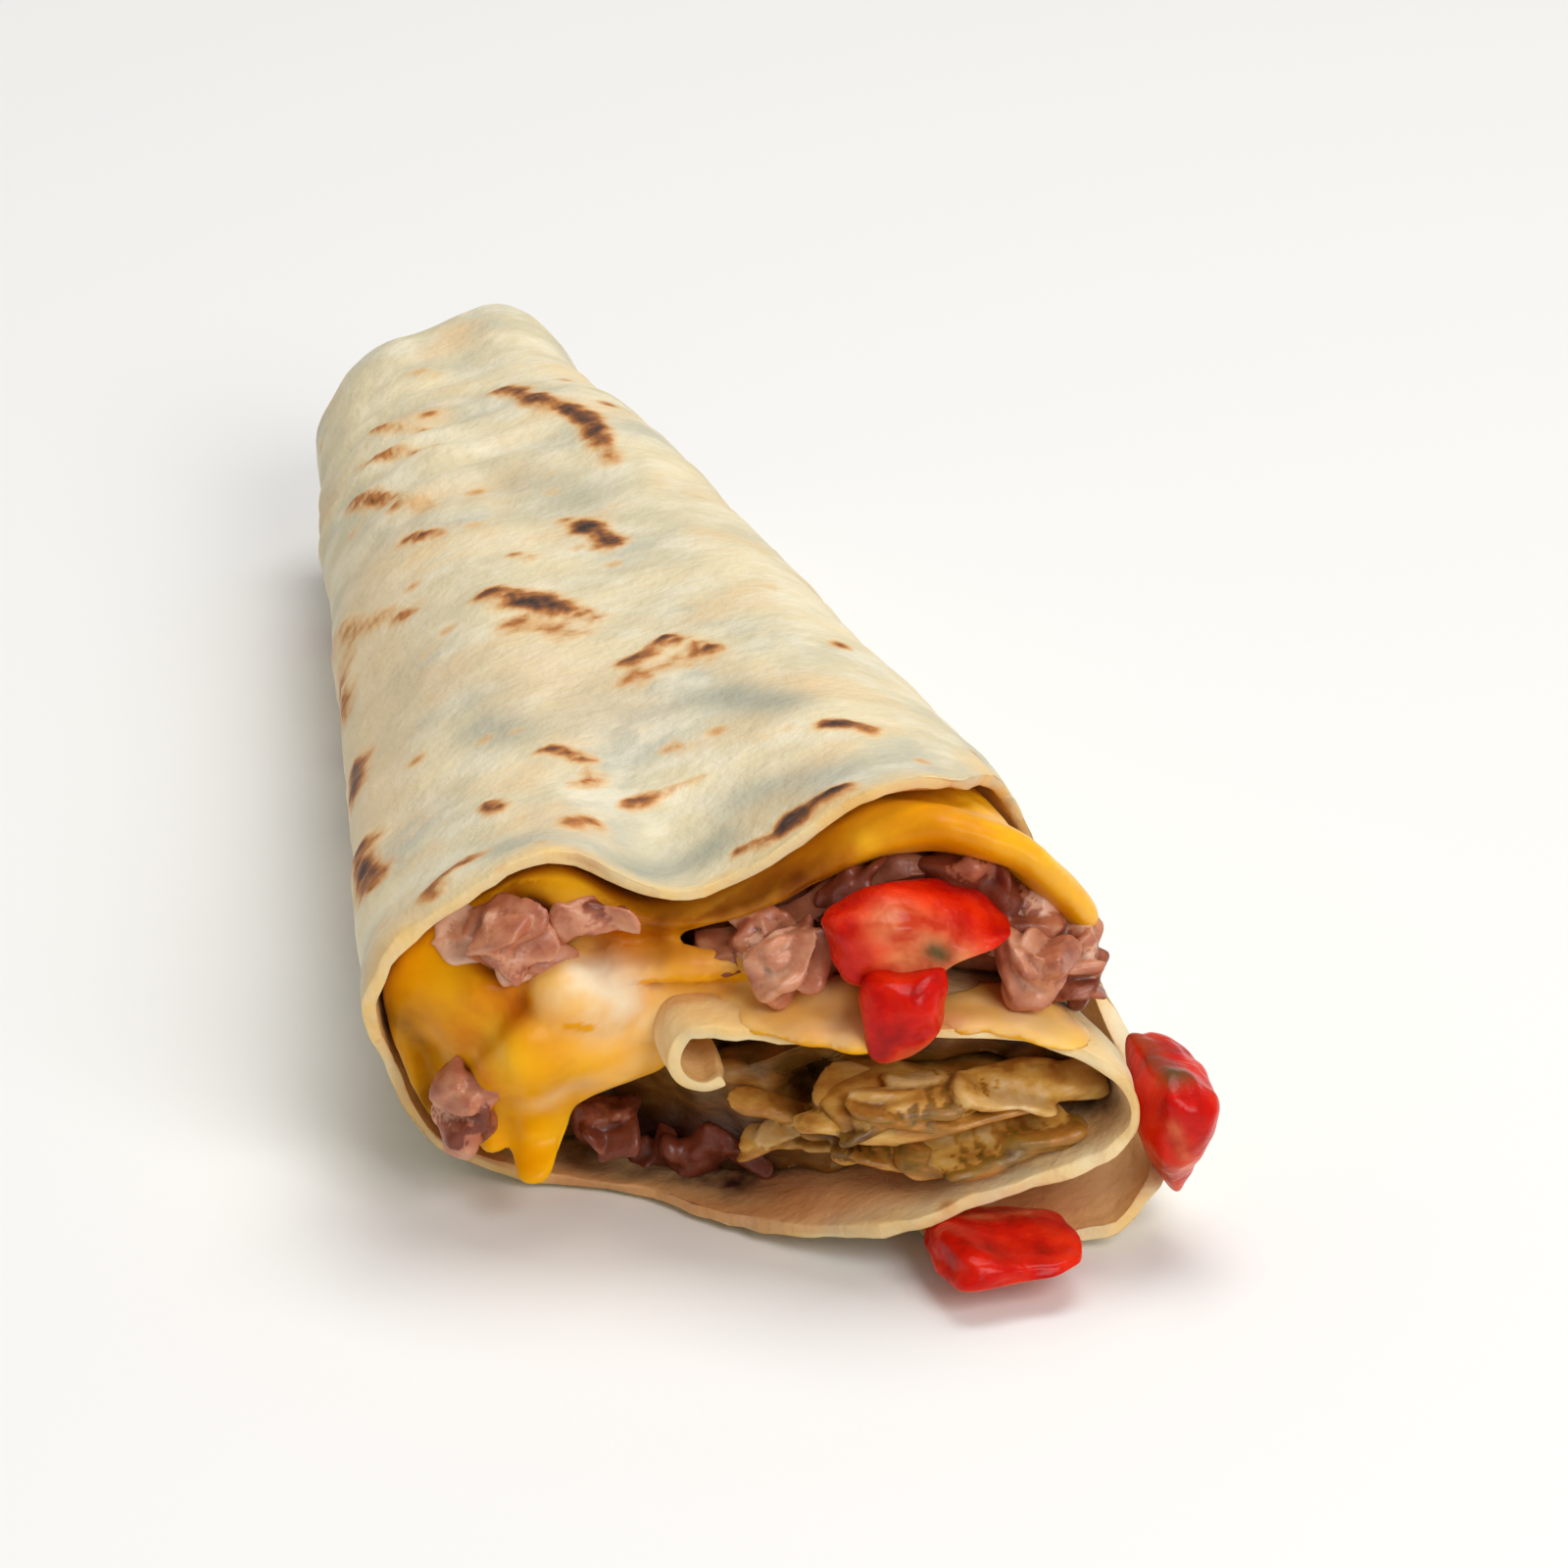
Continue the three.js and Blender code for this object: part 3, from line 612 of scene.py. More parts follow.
def ham_material(settings):
    """Cooked ham, chopped and fried: brown-pink to pale pink scraps, with painted shade in the creases
    between them.
    """
    stops = ((0.2, linear("7A3822")), (0.42, settings.ham), (0.62, linear("D08E6A")),
             (0.86, linear("E8BCA0")))
    return minced_material("Cooked ham, chopped and fried", stops, layering=1.6, roughness=0.36)


def mushroom_material(settings):
    """Mushroom and onion, sliced and fried: layers of brown, olive and golden tan."""
    stops = ((0.18, linear("5A340E")), (0.36, linear("8C6620")), (0.52, settings.mushroom),
             (0.7, linear("D2A24E")), (0.9, linear("E4C48E")))
    return minced_material("Mushroom and onion, sliced and fried", stops, layering=2.6, roughness=0.38)


# The photograph's view

def view_axes():
    """Right, up and forward of the photograph's camera."""
    right = Vector((math.cos(VIEW_AZIMUTH), -math.sin(VIEW_AZIMUTH), 0))
    level = Vector((math.sin(VIEW_AZIMUTH), math.cos(VIEW_AZIMUTH), 0))
    forward = level * math.cos(VIEW_ELEVATION) - Vector((0, 0, math.sin(VIEW_ELEVATION)))
    return right, right.cross(forward), forward


def camera_place():
    """Where the photograph's camera stands."""
    return PHOTO_ANCHOR - view_axes()[2] * PHOTO_DISTANCE


def photo_ray(pixel):
    """The direction in which the photograph's camera sees a pixel."""
    right, up, forward = view_axes()
    per_distance = PHOTO_PIXEL / PHOTO_DISTANCE
    across = (pixel[0] - PHOTO_ANCHOR_PIXEL[0]) * per_distance
    upward = (PHOTO_ANCHOR_PIXEL[1] - pixel[1]) * per_distance
    return (forward + right * across + up * upward).normalized()


def search_tree(names):
    """A search tree over the named CAD solids."""
    points = []
    faces = []
    for name in names:
        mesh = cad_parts[name].data
        start = len(points)
        points.extend(vertex.co.copy() for vertex in mesh.vertices)
        faces.extend([start + corner for corner in face.vertices] for face in mesh.polygons)
    return BVHTree.FromPolygons(points, faces)


def piece_tree(piece):
    """A search tree over a piece's own mesh."""
    mesh = piece.data
    points = [vertex.co.copy() for vertex in mesh.vertices]
    return BVHTree.FromPolygons(points, [list(face.vertices) for face in mesh.polygons])


def photo_hit(tree, pixel, name):
    """The point and the normal of the solid that a pixel shows, or that is nearest to it at the mouth."""
    ray = photo_ray(pixel)
    place, normal, _, _ = tree.ray_cast(camera_place(), ray)
    if place is None:
        place, normal, _, _ = tree.find_nearest(camera_place() + ray * PHOTO_DISTANCE, EDGE_REACH)
    if place is None:
        raise RuntimeError(f"{name}: pixel {pixel} misses the solid")
    return place, normal


# Mesh helpers

def select_only(piece):
    """Makes a piece the only selected object, and the active one."""
    bpy.ops.object.select_all(action="DESELECT")
    piece.select_set(True)
    bpy.context.view_layer.objects.active = piece


def read_rows(elements, name, width):
    """One property of all the elements of a mesh, as an array with that many columns."""
    values = np.zeros(len(elements) * width, np.float32)
    elements.foreach_get(name, values)
    return values.reshape(-1, width).astype(float)


def points_of(piece):
    """The vertices of a piece as an array."""
    return read_rows(piece.data.vertices, "co", 3)


def normals_of(piece):
    """The vertex normals of a piece as an array."""
    return read_rows(piece.data.vertex_normals, "vector", 3)


def stored(piece, name):
    """The numbers that are kept for the vertices under a name."""
    return read_rows(piece.data.attributes[name].data, "value", 1)[:, 0]


def store(piece, name, values):
    """Keeps one number for each vertex, which a material reads by its name."""
    attribute = piece.data.attributes.new(name, "FLOAT", "POINT")
    attribute.data.foreach_set("value", values.astype(np.float32))


def move_points(piece, points):
    """Puts the vertices of a piece at these places."""
    piece.data.vertices.foreach_set("co", points.astype(np.float32).ravel())
    piece.data.update()


def point_tree(points):
    """A search tree over points, which answers with their numbers and distances."""
    tree = KDTree(len(points))
    for number, point in enumerate(points):
        tree.insert(Vector(point), number)
    tree.balance()
    return tree


def noise_at(points, size_mm, start=0.0):
    """Smooth noise from about -1 to 1 at each point, with features of that size."""
    scale = per_size(size_mm)
    shift = Vector((start, start, start))
    return np.array([noise.noise(Vector(point) * scale + shift) for point in points])


def crumple(points, wave_mm, reach_mm, start=0):
    """Shifts points by slow noise, which bends a thin scrap as a whole."""
    noise.seed_set(NOISE_SEED)
    scale = per_size(wave_mm)
    shift = Vector((start, start, start))
    shifts = [noise.noise_vector(Vector(point) * scale + shift) for point in points]
    return points + np.array(shifts) * reach_mm * MM


def apply_modifier(piece, kind, **settings):
    """Adds a modifier with its settings and applies it."""
    select_only(piece)
    modifier = piece.modifiers.new(kind, kind)
    for name, value in settings.items():
        setattr(modifier, name, value)
    bpy.ops.object.modifier_apply(modifier=modifier.name)


def make_finer(piece, levels, kind="CATMULL_CLARK"):
    """Divides every face of a piece in four, as often as there are levels."""
    apply_modifier(piece, "SUBSURF", levels=levels, render_levels=levels, subdivision_type=kind)


def melt_together(piece, voxel_mm):
    """Joins overlapping meshes of a piece to one skin."""
    apply_modifier(piece, "REMESH", mode="VOXEL", voxel_size=voxel_mm * MM)


def soften(piece, rounds):
    """Smooths a piece several times over."""
    apply_modifier(piece, "SMOOTH", factor=0.5, iterations=rounds)


def node_copy(node, name):
    """A new piece with a merged copy of a CAD node's mesh, its triangles joined to quads."""
    piece = bpy.data.objects.new(name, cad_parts[node].data.copy())
    piece.data.materials.clear()
    bpy.context.scene.collection.objects.link(piece)
    select_only(piece)
    bpy.ops.object.mode_set(mode="EDIT")
    bpy.ops.mesh.select_all(action="SELECT")
    bpy.ops.mesh.remove_doubles(threshold=0.001 * MM)
    bpy.ops.mesh.tris_convert_to_quads()
    bpy.ops.object.mode_set(mode="OBJECT")
    return piece


def join_pieces(piece, others):
    """Joins other meshes into a piece."""
    select_only(piece)
    for other in others:
        other.select_set(True)
    bpy.ops.object.transform_apply(location=True, rotation=True, scale=True)
    bpy.ops.object.join()


def fit_to_box(piece, points, low, high):
    """Puts the vertices of a piece at these places, stretched to fill a box."""
    share = (points - points.min(0)) / np.ptp(points, axis=0)
    move_points(piece, share * np.array(high - low) + np.array(low))


def fade(distance, width):
    """1 where the distance is nothing, falling off over that width as a bell curve."""
    return np.exp(-(distance / width) ** 2)


def stroke_share(points, start, end, width):
    """How near each point is to a stroke between two places: 1 on it, fading over its half width."""
    shortest = 0.01 * MM
    along = np.array(end - start)
    length_square = max(float(along @ along), shortest ** 2)
    share = np.clip(((points - np.array(start)) @ along) / length_square, 0, 1)
    nearest = np.array(start) + share[:, None] * along
    return fade(np.linalg.norm(points - nearest, axis=1), width * MM)


def mark_share(tree, points, mark):
    """How near each point is to a mark on a solid."""
    start, _ = photo_hit(tree, mark.start, mark.name)
    end, _ = photo_hit(tree, mark.end, mark.name)
    return stroke_share(points, start, end, mark.width)


def mark_field(piece, marks):
    """How strongly the marks colour each vertex of a piece, on the face that each mark lies on."""
    tree = piece_tree(piece)
    points = points_of(piece)
    normals = normals_of(piece)
    field = np.zeros(len(points))
    for mark in marks:
        _, facing = photo_hit(tree, mark.start, mark.name)
        share = mark.amount * mark_share(tree, points, mark)
        share[normals @ np.array(facing) < 0] = 0
        field = np.maximum(field, share)
    return field


def settle(points):
    """Slow unevenness that the bread and its fillings share, so that none cuts through another."""
    uneven_size = 21.0
    uneven_mm = 0.8
    flat_height = 6 * MM
    lifted = np.clip(points[:, 2] / flat_height, 0, 1)
    moved = points + (crumple(points, uneven_size, uneven_mm) - points) * lifted[:, None]
    moved[:, 2] -= LIP_HOLLOW.amount * MM * mark_share(search_tree([BREAD]), points, LIP_HOLLOW)
    moved[:, 2] = np.maximum(moved[:, 2], 0)
    return moved


def finish_piece(piece, material, nodes):
    """Gives a piece its material, smooth shading and its body, and hides the CAD nodes that it stands for."""
    piece.data.materials.clear()
    piece.data.materials.append(material)
    select_only(piece)
    bpy.ops.object.shade_smooth()
    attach(piece, ROOT_BODY)
    if nodes:
        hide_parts(*nodes)


# The bread

def double_rows(piece):
    """Cuts every lengthwise edge of the sheet once more."""
    select_only(piece)
    bpy.ops.object.mode_set(mode="EDIT")
    bpy.ops.mesh.select_mode(type="EDGE")
    bpy.ops.mesh.select_all(action="DESELECT")
    bpy.ops.object.mode_set(mode="OBJECT")
    mesh = piece.data
    lengthwise = 0.8
    for edge in mesh.edges:
        first, last = (mesh.vertices[corner].co for corner in edge.vertices)
        edge.select = abs((last - first).normalized().y) > lengthwise
    bpy.ops.object.mode_set(mode="EDIT")
    bpy.ops.mesh.subdivide(number_cuts=1)
    bpy.ops.object.mode_set(mode="OBJECT")


def store_rim(piece):
    """Marks the edge of the sheet at the mouth, before the sheet is made finer."""
    mesh = piece.data
    facing_out = -0.6
    rim = np.zeros(len(mesh.vertices))
    for face in mesh.polygons:
        if face.normal.y < facing_out and face.center.y < 0:
            rim[list(face.vertices)] = 1
    store(piece, "rim_edge", rim)


def rim_distance(piece):
    """How far each vertex is from the edge of the sheet at the mouth."""
    on_edge = 0.9
    points = points_of(piece)
    tree = point_tree(points[stored(piece, "rim_edge") > on_edge])
    return np.array([tree.find(Vector(point))[2] for point in points])


def inner_share(piece):
    """Marks the side of the sheet that faces into the roll: another turn or a filling lies in front of it."""
    tree = search_tree([BREAD, *FILLINGS])
    lift = 1.2 * MM
    reach = 45 * MM
    share = np.zeros(len(piece.data.vertices))
    for index, (point, normal) in enumerate(zip(points_of(piece), normals_of(piece))):
        hit, _, _, _ = tree.ray_cast(Vector(point + normal * lift), Vector(normal), reach)
        share[index] = hit is not None
    return share


def blurred(piece, values, rounds):
    """Averages a value with that of its neighbours, several times over."""
    mesh = piece.data
    count = len(values)
    ends = np.zeros(len(mesh.edges) * 2, np.int32)
    mesh.edges.foreach_get("vertices", ends)
    first, last = ends.reshape(-1, 2).T
    neighbours = np.bincount(ends, minlength=count)
    for _ in range(rounds):
        total = np.bincount(first, values[last], count) + np.bincount(last, values[first], count)
        values = (values + total) / (1 + neighbours)
    return values


def unseen_toast(piece, settings):
    """Browned spots scattered by a seeded choice over the faces that the photograph doesn't show."""
    lengths_mm = (0.5, 7)
    widths_mm = (1.3, 2.4)
    strengths = (0.4, 1.0)
    seen_gap = 9 * MM
    points = points_of(piece)
    normals = normals_of(piece)
    tree = search_tree([BREAD])
    place = camera_place()
    chooser = random.Random(settings.spot_seed)
    field = np.zeros(len(points))
    placed = 0
    while placed < settings.unseen_spots:
        index = chooser.randrange(len(points))
        point = Vector(points[index])
        hit, _, _, _ = tree.ray_cast(place, (point - place).normalized())
        if hit is not None and (hit - point).length < seen_gap:
            continue
        length = chooser.uniform(*lengths_mm) * MM
        turn = chooser.uniform(0, 2 * math.pi)
        side = Vector(normals[index]).cross(Vector((0, math.cos(turn), math.sin(turn))))
        end = point + side.normalized() * length if side.length else point
        width = chooser.uniform(*widths_mm)
        share = chooser.uniform(*strengths) * stroke_share(points, point, end, width)
        share[normals @ normals[index] < 0] = 0
        field = np.maximum(field, share)
        placed += 1
    return field


def shape_dough(piece, toast, from_rim, settings):
    """Raises blisters, waves and the tail's wrinkles, and thins, tears and curls the rim."""
    blister_share = 1.4
    thin_width = 3.5 * MM
    lip_width = 6 * MM
    lip_height = 24 * MM
    points = points_of(piece)
    height = settings.blister * toast * blister_share
    for wave in DOUGH_WAVES:
        height += settings.unevenness * wave.height * noise_at(points, wave.size_mm, wave.start)
    rings = mark_share(search_tree([BREAD]), points, TAIL_WRINKLES)
    phase = 2 * math.pi * points[:, 1] / (WRINKLE_SPACING * MM)
    phase += WRINKLE_WAVE.height * noise_at(points, WRINKLE_WAVE.size_mm, WRINKLE_WAVE.start)
    height += TAIL_WRINKLES.amount * MM * rings * np.sin(phase)
    height -= settings.rim_thinning * fade(from_rim, thin_width)
    points += normals_of(piece) * height[:, None]
    lip = fade(from_rim, lip_width)
    for wave in RIM_WAVES:
        points[:, 1] += settings.raggedness * wave.height * lip * noise_at(points, wave.size_mm, wave.start)
    points[:, 2] += settings.lip * lip * (points[:, 2] > lip_height)
    move_points(piece, settle(points))


def make_bread(settings):
    """The rolled sheet: a finer copy of its solid with blisters, wrinkles, a lip and a ragged rim."""
    finer_levels = 2
    moist_blur = 6
    rim_width = 2.6 * MM
    faintest = 0.0001
    piece = node_copy(BREAD, "bread_sheet")
    double_rows(piece)
    store_rim(piece)
    make_finer(piece, finer_levels)
    toast = np.maximum(mark_field(piece, TOAST_MARKS), unseen_toast(piece, settings))
    fields = {name: mark_field(piece, marks) for name, marks in BREAD_MARKS.items()}
    inside = blurred(piece, inner_share(piece), moist_blur)
    from_rim = rim_distance(piece)
    near_rim = fade(from_rim, rim_width)
    # The painted shade of the mouth stops short of the rim
    fields["mouth_shade"] *= 1 - near_rim
    shape_dough(piece, toast, from_rim, settings)
    store(piece, "toast_gap", np.sqrt(-np.log(np.clip(toast, faintest, 1))))
    for name, field in fields.items():
        store(piece, name, field)
    store(piece, "inside", settings.moisture * inside)
    store(piece, "rim", near_rim)
    finish_piece(piece, bread_material(settings), [BREAD])


# The fillings

def crease_share(piece, reach_mm):
    """How deep each vertex lies in a crease: how far it is under a smoothed copy of the surface."""
    smoothing = 24
    smoothed = bpy.data.objects.new("smoothed", piece.data.copy())
    bpy.context.scene.collection.objects.link(smoothed)
    soften(smoothed, smoothing)
    depth = ((points_of(smoothed) - points_of(piece)) * normals_of(piece)).sum(axis=1)
    bpy.data.objects.remove(smoothed)
    return np.clip(depth / (reach_mm * MM), 0, 1)


def push_forms(piece, marks):
    """Moves the front of a filling towards the camera, or away from it, where the marks say."""
    tree = piece_tree(piece)
    points = points_of(piece)
    towards = -np.array(view_axes()[2])
    for mark in marks:
        points += towards * (mark.amount * MM * mark_share(tree, points, mark))[:, None]
    move_points(piece, points)


def run_blobs(tree):
    """Round blobs along each run of cheese, which are melted together with the rest."""
    blobs = []
    for run in CHEESE_RUNS:
        start, _ = photo_hit(tree, run.start, run.name)
        if run.hangs:
            ray = photo_ray(run.end)
            end = camera_place() + ray * ((start.y - camera_place().y) / ray.y)
        else:
            end, _ = photo_hit(tree, run.end, run.name)
        for step in range(RUN_STEPS):
            share = step / (RUN_STEPS - 1)
            radius = run.radius_start + (run.radius_end - run.radius_start) * share
            bpy.ops.mesh.primitive_uv_sphere_add(segments=BLOB_SEGMENTS, ring_count=BLOB_RINGS,
                                                 radius=radius * MM, location=start.lerp(end, share))
            blobs.append(bpy.context.object)
    return blobs


def film_blobs(tree):
    """Flat blobs side by side in each film of cheese, sunk into the bread."""
    jitter_pixels = 2.5
    smallest_and_largest = (0.5, 1.0)
    sunk_share = 0.55
    chooser = random.Random(FILM_SEED)
    blobs = []
    for film in CHEESE_FILMS:
        for step in range(FILM_STEPS):
            share = step / (FILM_STEPS - 1)
            pixel = [a + (b - a) * share + chooser.uniform(-jitter_pixels, jitter_pixels)
                     for a, b in zip(film.start, film.end)]
            place, normal = photo_hit(tree, pixel, film.name)
            bpy.ops.mesh.primitive_uv_sphere_add(segments=BLOB_SEGMENTS, ring_count=BLOB_RINGS, radius=1.0)
            radius = film.radius * chooser.uniform(*smallest_and_largest)
            spread = Vector((radius, radius, film.thickness)) * MM
            sunk = place - normal * (sunk_share * film.thickness * MM)
            blob = bpy.context.object
            blob.data.transform(Matrix.LocRotScale(sunk, normal.to_track_quat("Z", "Y"), spread))
            blobs.append(blob)
    return blobs


def make_cheese(settings):
    """The melted cheese: a finer copy of its solid with folds, drips and films, melted together."""
    finer_levels = 2
    voxel_mm = 0.55
    smoothing = 5
    crease_mm = 1.2
    crease_strength = 0.5
    tree = search_tree(["melted_cheese", BREAD, "chopped_ham", "pocket_filling"])
    piece = node_copy("melted_cheese", "cheese_mass")
    make_finer(piece, finer_levels)
    join_pieces(piece, run_blobs(tree) + film_blobs(tree))
    melt_together(piece, voxel_mm)
    push_forms(piece, CHEESE_FORMS)
    soften(piece, smoothing)
    points = points_of(piece)
    height = sum(wave.height * MM * noise_at(points, wave.size_mm, wave.start) for wave in CHEESE_WAVES)
    points += normals_of(piece) * height[:, None]
    move_points(piece, settle(points))
    # Pale patches with a painted highlight on the mound, and amber with painted shade under the rim and the
    # lip
    store(piece, "pale", mark_field(piece, CHEESE_PALE_AND_HIGHLIGHT))
    store(piece, "amber", mark_field(piece, CHEESE_AMBER_AND_SHADE))
    # Dark painted shade in the creases, and under the rim and the lip
    creases = crease_strength * crease_share(piece, crease_mm)
    store(piece, "browned", np.maximum(mark_field(piece, CHEESE_SHADE), creases))
    finish_piece(piece, cheese_material(settings), ["melted_cheese"])


def chopped_bit(seed, raggedness):
    """One torn scrap of food, 1 across: a cube, rounded a little, with an uneven outline."""
    cuts = 3
    roundness = 0.5
    finer_levels = 1
    bpy.ops.object.select_all(action="DESELECT")
    bpy.ops.mesh.primitive_cube_add(size=1)
    bit = bpy.context.object
    bpy.ops.object.mode_set(mode="EDIT")
    bpy.ops.mesh.subdivide(number_cuts=cuts)
    bpy.ops.transform.tosphere(value=roundness)
    bpy.ops.transform.vertex_random(offset=raggedness, seed=seed)
    bpy.ops.object.mode_set(mode="OBJECT")
    make_finer(bit, finer_levels)
    return bit


def patch_places(carriers, patches, chooser):
    """Where the scraps of each patch lie: the point, the normal there, the tone and the size share."""
    tree = search_tree(carriers)
    places = []
    for patch in patches:
        for _ in range(patch.count):
            angle = chooser.uniform(0, 2 * math.pi)
            reach = math.sqrt(chooser.random())
            pixel = (patch.middle[0] + patch.reach[0] * reach * math.cos(angle),
                     patch.middle[1] + patch.reach[1] * reach * math.sin(angle))
            place, normal = photo_hit(tree, pixel, patch.name)
            places.append((place, normal, patch.tone, patch.scale))
    return places


def side_places(node, count, chooser):
    """Places on the right side of a filling, where nothing lies in front of it."""
    facing_right = 0.5
    lift = 0.5 * MM
    tone = 0.0
    scale = 1.0
    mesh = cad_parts[node].data
    cover = search_tree([BREAD, "melted_cheese"])
    faces = [face for face in mesh.polygons if face.normal.x > facing_right]
    areas = [face.area for face in faces]
    places = []
    while len(places) < count:
        face = chooser.choices(faces, areas)[0]
        corners = [mesh.vertices[corner].co for corner in face.vertices]
        shares = [chooser.random() for _ in corners]
        place = sum((corner * share for corner, share in zip(corners, shares)), Vector()) / sum(shares)
        blocked, _, _, _ = cover.ray_cast(place + face.normal * lift, Vector((1, 0, 0)))
        if blocked is None:
            places.append((place, face.normal.copy(), tone, scale))
    return places


def chopped_bits(scraps, places):
    """Small chopped bits of one kind, sunk a little into what carries them.

    Layered bits lie level and across the mouth; the others lie on the surface, turned any way.
    """
    kinds = 6
    sunk_share = 0.3
    tone_reach = 0.2
    wave_mm = 5.0
    bend_mm = 1.3
    chooser = random.Random(scraps.seed)
    spin = scraps.tilt if scraps.layered else math.pi
    bits = [chopped_bit(scraps.seed + kind, scraps.raggedness) for kind in range(kinds)]
    copies = []
    for place, normal, middle_tone, scale in places:
        size = Vector([chooser.uniform(*limits) * scale * MM for limits in scraps.sizes])
        turn = Euler([chooser.uniform(-reach, reach) for reach in (scraps.tilt, scraps.tilt, spin)])
        lying = turn.to_quaternion()
        if not scraps.layered:
            lying = normal.to_track_quat("Z", "Y") @ lying
        sunk = place - normal * (sunk_share * min(size))
        copied = bpy.data.objects.new(scraps.name, chooser.choice(bits).data.copy())
        copied.data.transform(Matrix.LocRotScale(sunk, lying, size))
        bpy.context.scene.collection.objects.link(copied)
        points = points_of(copied)
        move_points(copied, crumple(points, wave_mm, bend_mm))
        tone = middle_tone + chooser.uniform(-tone_reach, tone_reach)
        store(copied, "tone", np.full(len(points), tone))
        copies.append(copied)
    for bit in bits:
        bpy.data.objects.remove(bit)
    return copies


def merge_bits(bits, voxel_mm):
    """Joins scraps to one uneven mass, in which each spot keeps its scrap's tone and creases are darkened
    with painted shade.
    """
    crease_mm = 0.4
    smoothing = 2
    piece = bits[0]
    join_pieces(piece, bits[1:])
    tones = stored(piece, "tone")
    tree = point_tree(points_of(piece))
    melt_together(piece, voxel_mm)
    nearest = [tree.find(vertex.co)[1] for vertex in piece.data.vertices]
    soften(piece, smoothing)
    store(piece, "tone", tones[nearest])
    store(piece, "browned", crease_share(piece, crease_mm))
    return piece


def make_minced(node, name, material, bits, gaps=(), shade=()):
    """A finer copy of a chopped filling's solid, with dark gaps and with its scraps on its front."""
    finer_levels = 3
    scrap_mm = 4.2
    relief_mm = 1.6
    level_border = 0.5
    tone_spread = 0.25
    browned = 0.35
    piece = node_copy(node, name)
    make_finer(piece, finer_levels, "SIMPLE")
    push_forms(piece, gaps)
    points = points_of(piece)
    scale = per_size(scrap_mm)
    borders = np.array([noise.voronoi(Vector(point) * scale)[0][0] for point in points])
    move_points(piece, points + normals_of(piece) * (relief_mm * MM * (level_border - borders))[:, None])
    store(piece, "tone", tone_spread * noise_at(points, scrap_mm))
    # An even brown tint, with painted shade where the shade marks lie
    store(piece, "browned", np.maximum(browned, mark_field(piece, shade)))
    join_pieces(piece, [merge_bits(bits, SCRAP_VOXEL_MM)])
    move_points(piece, settle(points_of(piece)))
    finish_piece(piece, material, [node])


def make_chopped(settings):
    """The chopped ham, the pocket's filling, and the loose bits of ham in front of them."""
    ham = ham_material(settings)
    mushroom = mushroom_material(settings)
    chooser = random.Random(settings.scrap_seed)
    ham_places = patch_places(["chopped_ham"], INNER_HAM_PATCHES, chooser)
    ham_places += side_places("chopped_ham", SIDE_SCRAPS, chooser)
    make_minced("chopped_ham", "ham_mass", ham, chopped_bits(PACKED_HAM, ham_places))
    pocket = ["pocket_filling", "mushroom_upper", "mushroom_lower", BREAD]
    strips = chopped_bits(POCKET_STRIPS, patch_places(pocket, MUSHROOM_PATCHES, chooser))
    make_minced("pocket_filling", "pocket_mass", mushroom, strips, POCKET_GAPS, POCKET_SHADE)
    carriers = ["pocket_filling", "melted_cheese", BREAD]
    loose_bits = chopped_bits(LOOSE_HAM, patch_places(carriers, OUTER_HAM_PATCHES, chooser))
    loose_ham = merge_bits(loose_bits, SCRAP_VOXEL_MM)
    move_points(loose_ham, settle(points_of(loose_ham)))
    finish_piece(loose_ham, ham, [])


# The larger pieces of pepper, ham and mushroom

def shaped_lump(lump):
    """A piece of food from a cube: rounded, narrowed downwards, bent, crumpled and fitted to its box."""
    cuts = 5
    smoothing = 4
    finer_levels = 2
    fold_wave_mm = 7.0
    wrinkle_wave_mm = 2.6
    low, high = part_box(lump.node)
    bpy.ops.object.select_all(action="DESELECT")
    bpy.ops.mesh.primitive_cube_add(size=1)
    piece = bpy.context.object
    piece.name = lump.name
    bpy.ops.object.mode_set(mode="EDIT")
    bpy.ops.transform.resize(value=high - low)
    bpy.ops.mesh.subdivide(number_cuts=cuts)
    bpy.ops.transform.tosphere(value=lump.roundness)
    bpy.ops.mesh.vertices_smooth(factor=0.5, repeat=smoothing)
    bpy.ops.object.mode_set(mode="OBJECT")
    if lump.taper:
        apply_modifier(piece, "SIMPLE_DEFORM", deform_method="TAPER", deform_axis="Z", factor=lump.taper)
    if lump.bend:
        apply_modifier(piece, "SIMPLE_DEFORM", deform_method="BEND", deform_axis="Y",
                       angle=math.radians(lump.bend))
    make_finer(piece, finer_levels)
    points = crumple(points_of(piece), fold_wave_mm, lump.fold, lump.start)
    fit_to_box(piece, crumple(points, wrinkle_wave_mm, lump.wrinkle, lump.start), low, high)
    store(piece, "tone", np.full(len(points), lump.tone))
    return piece


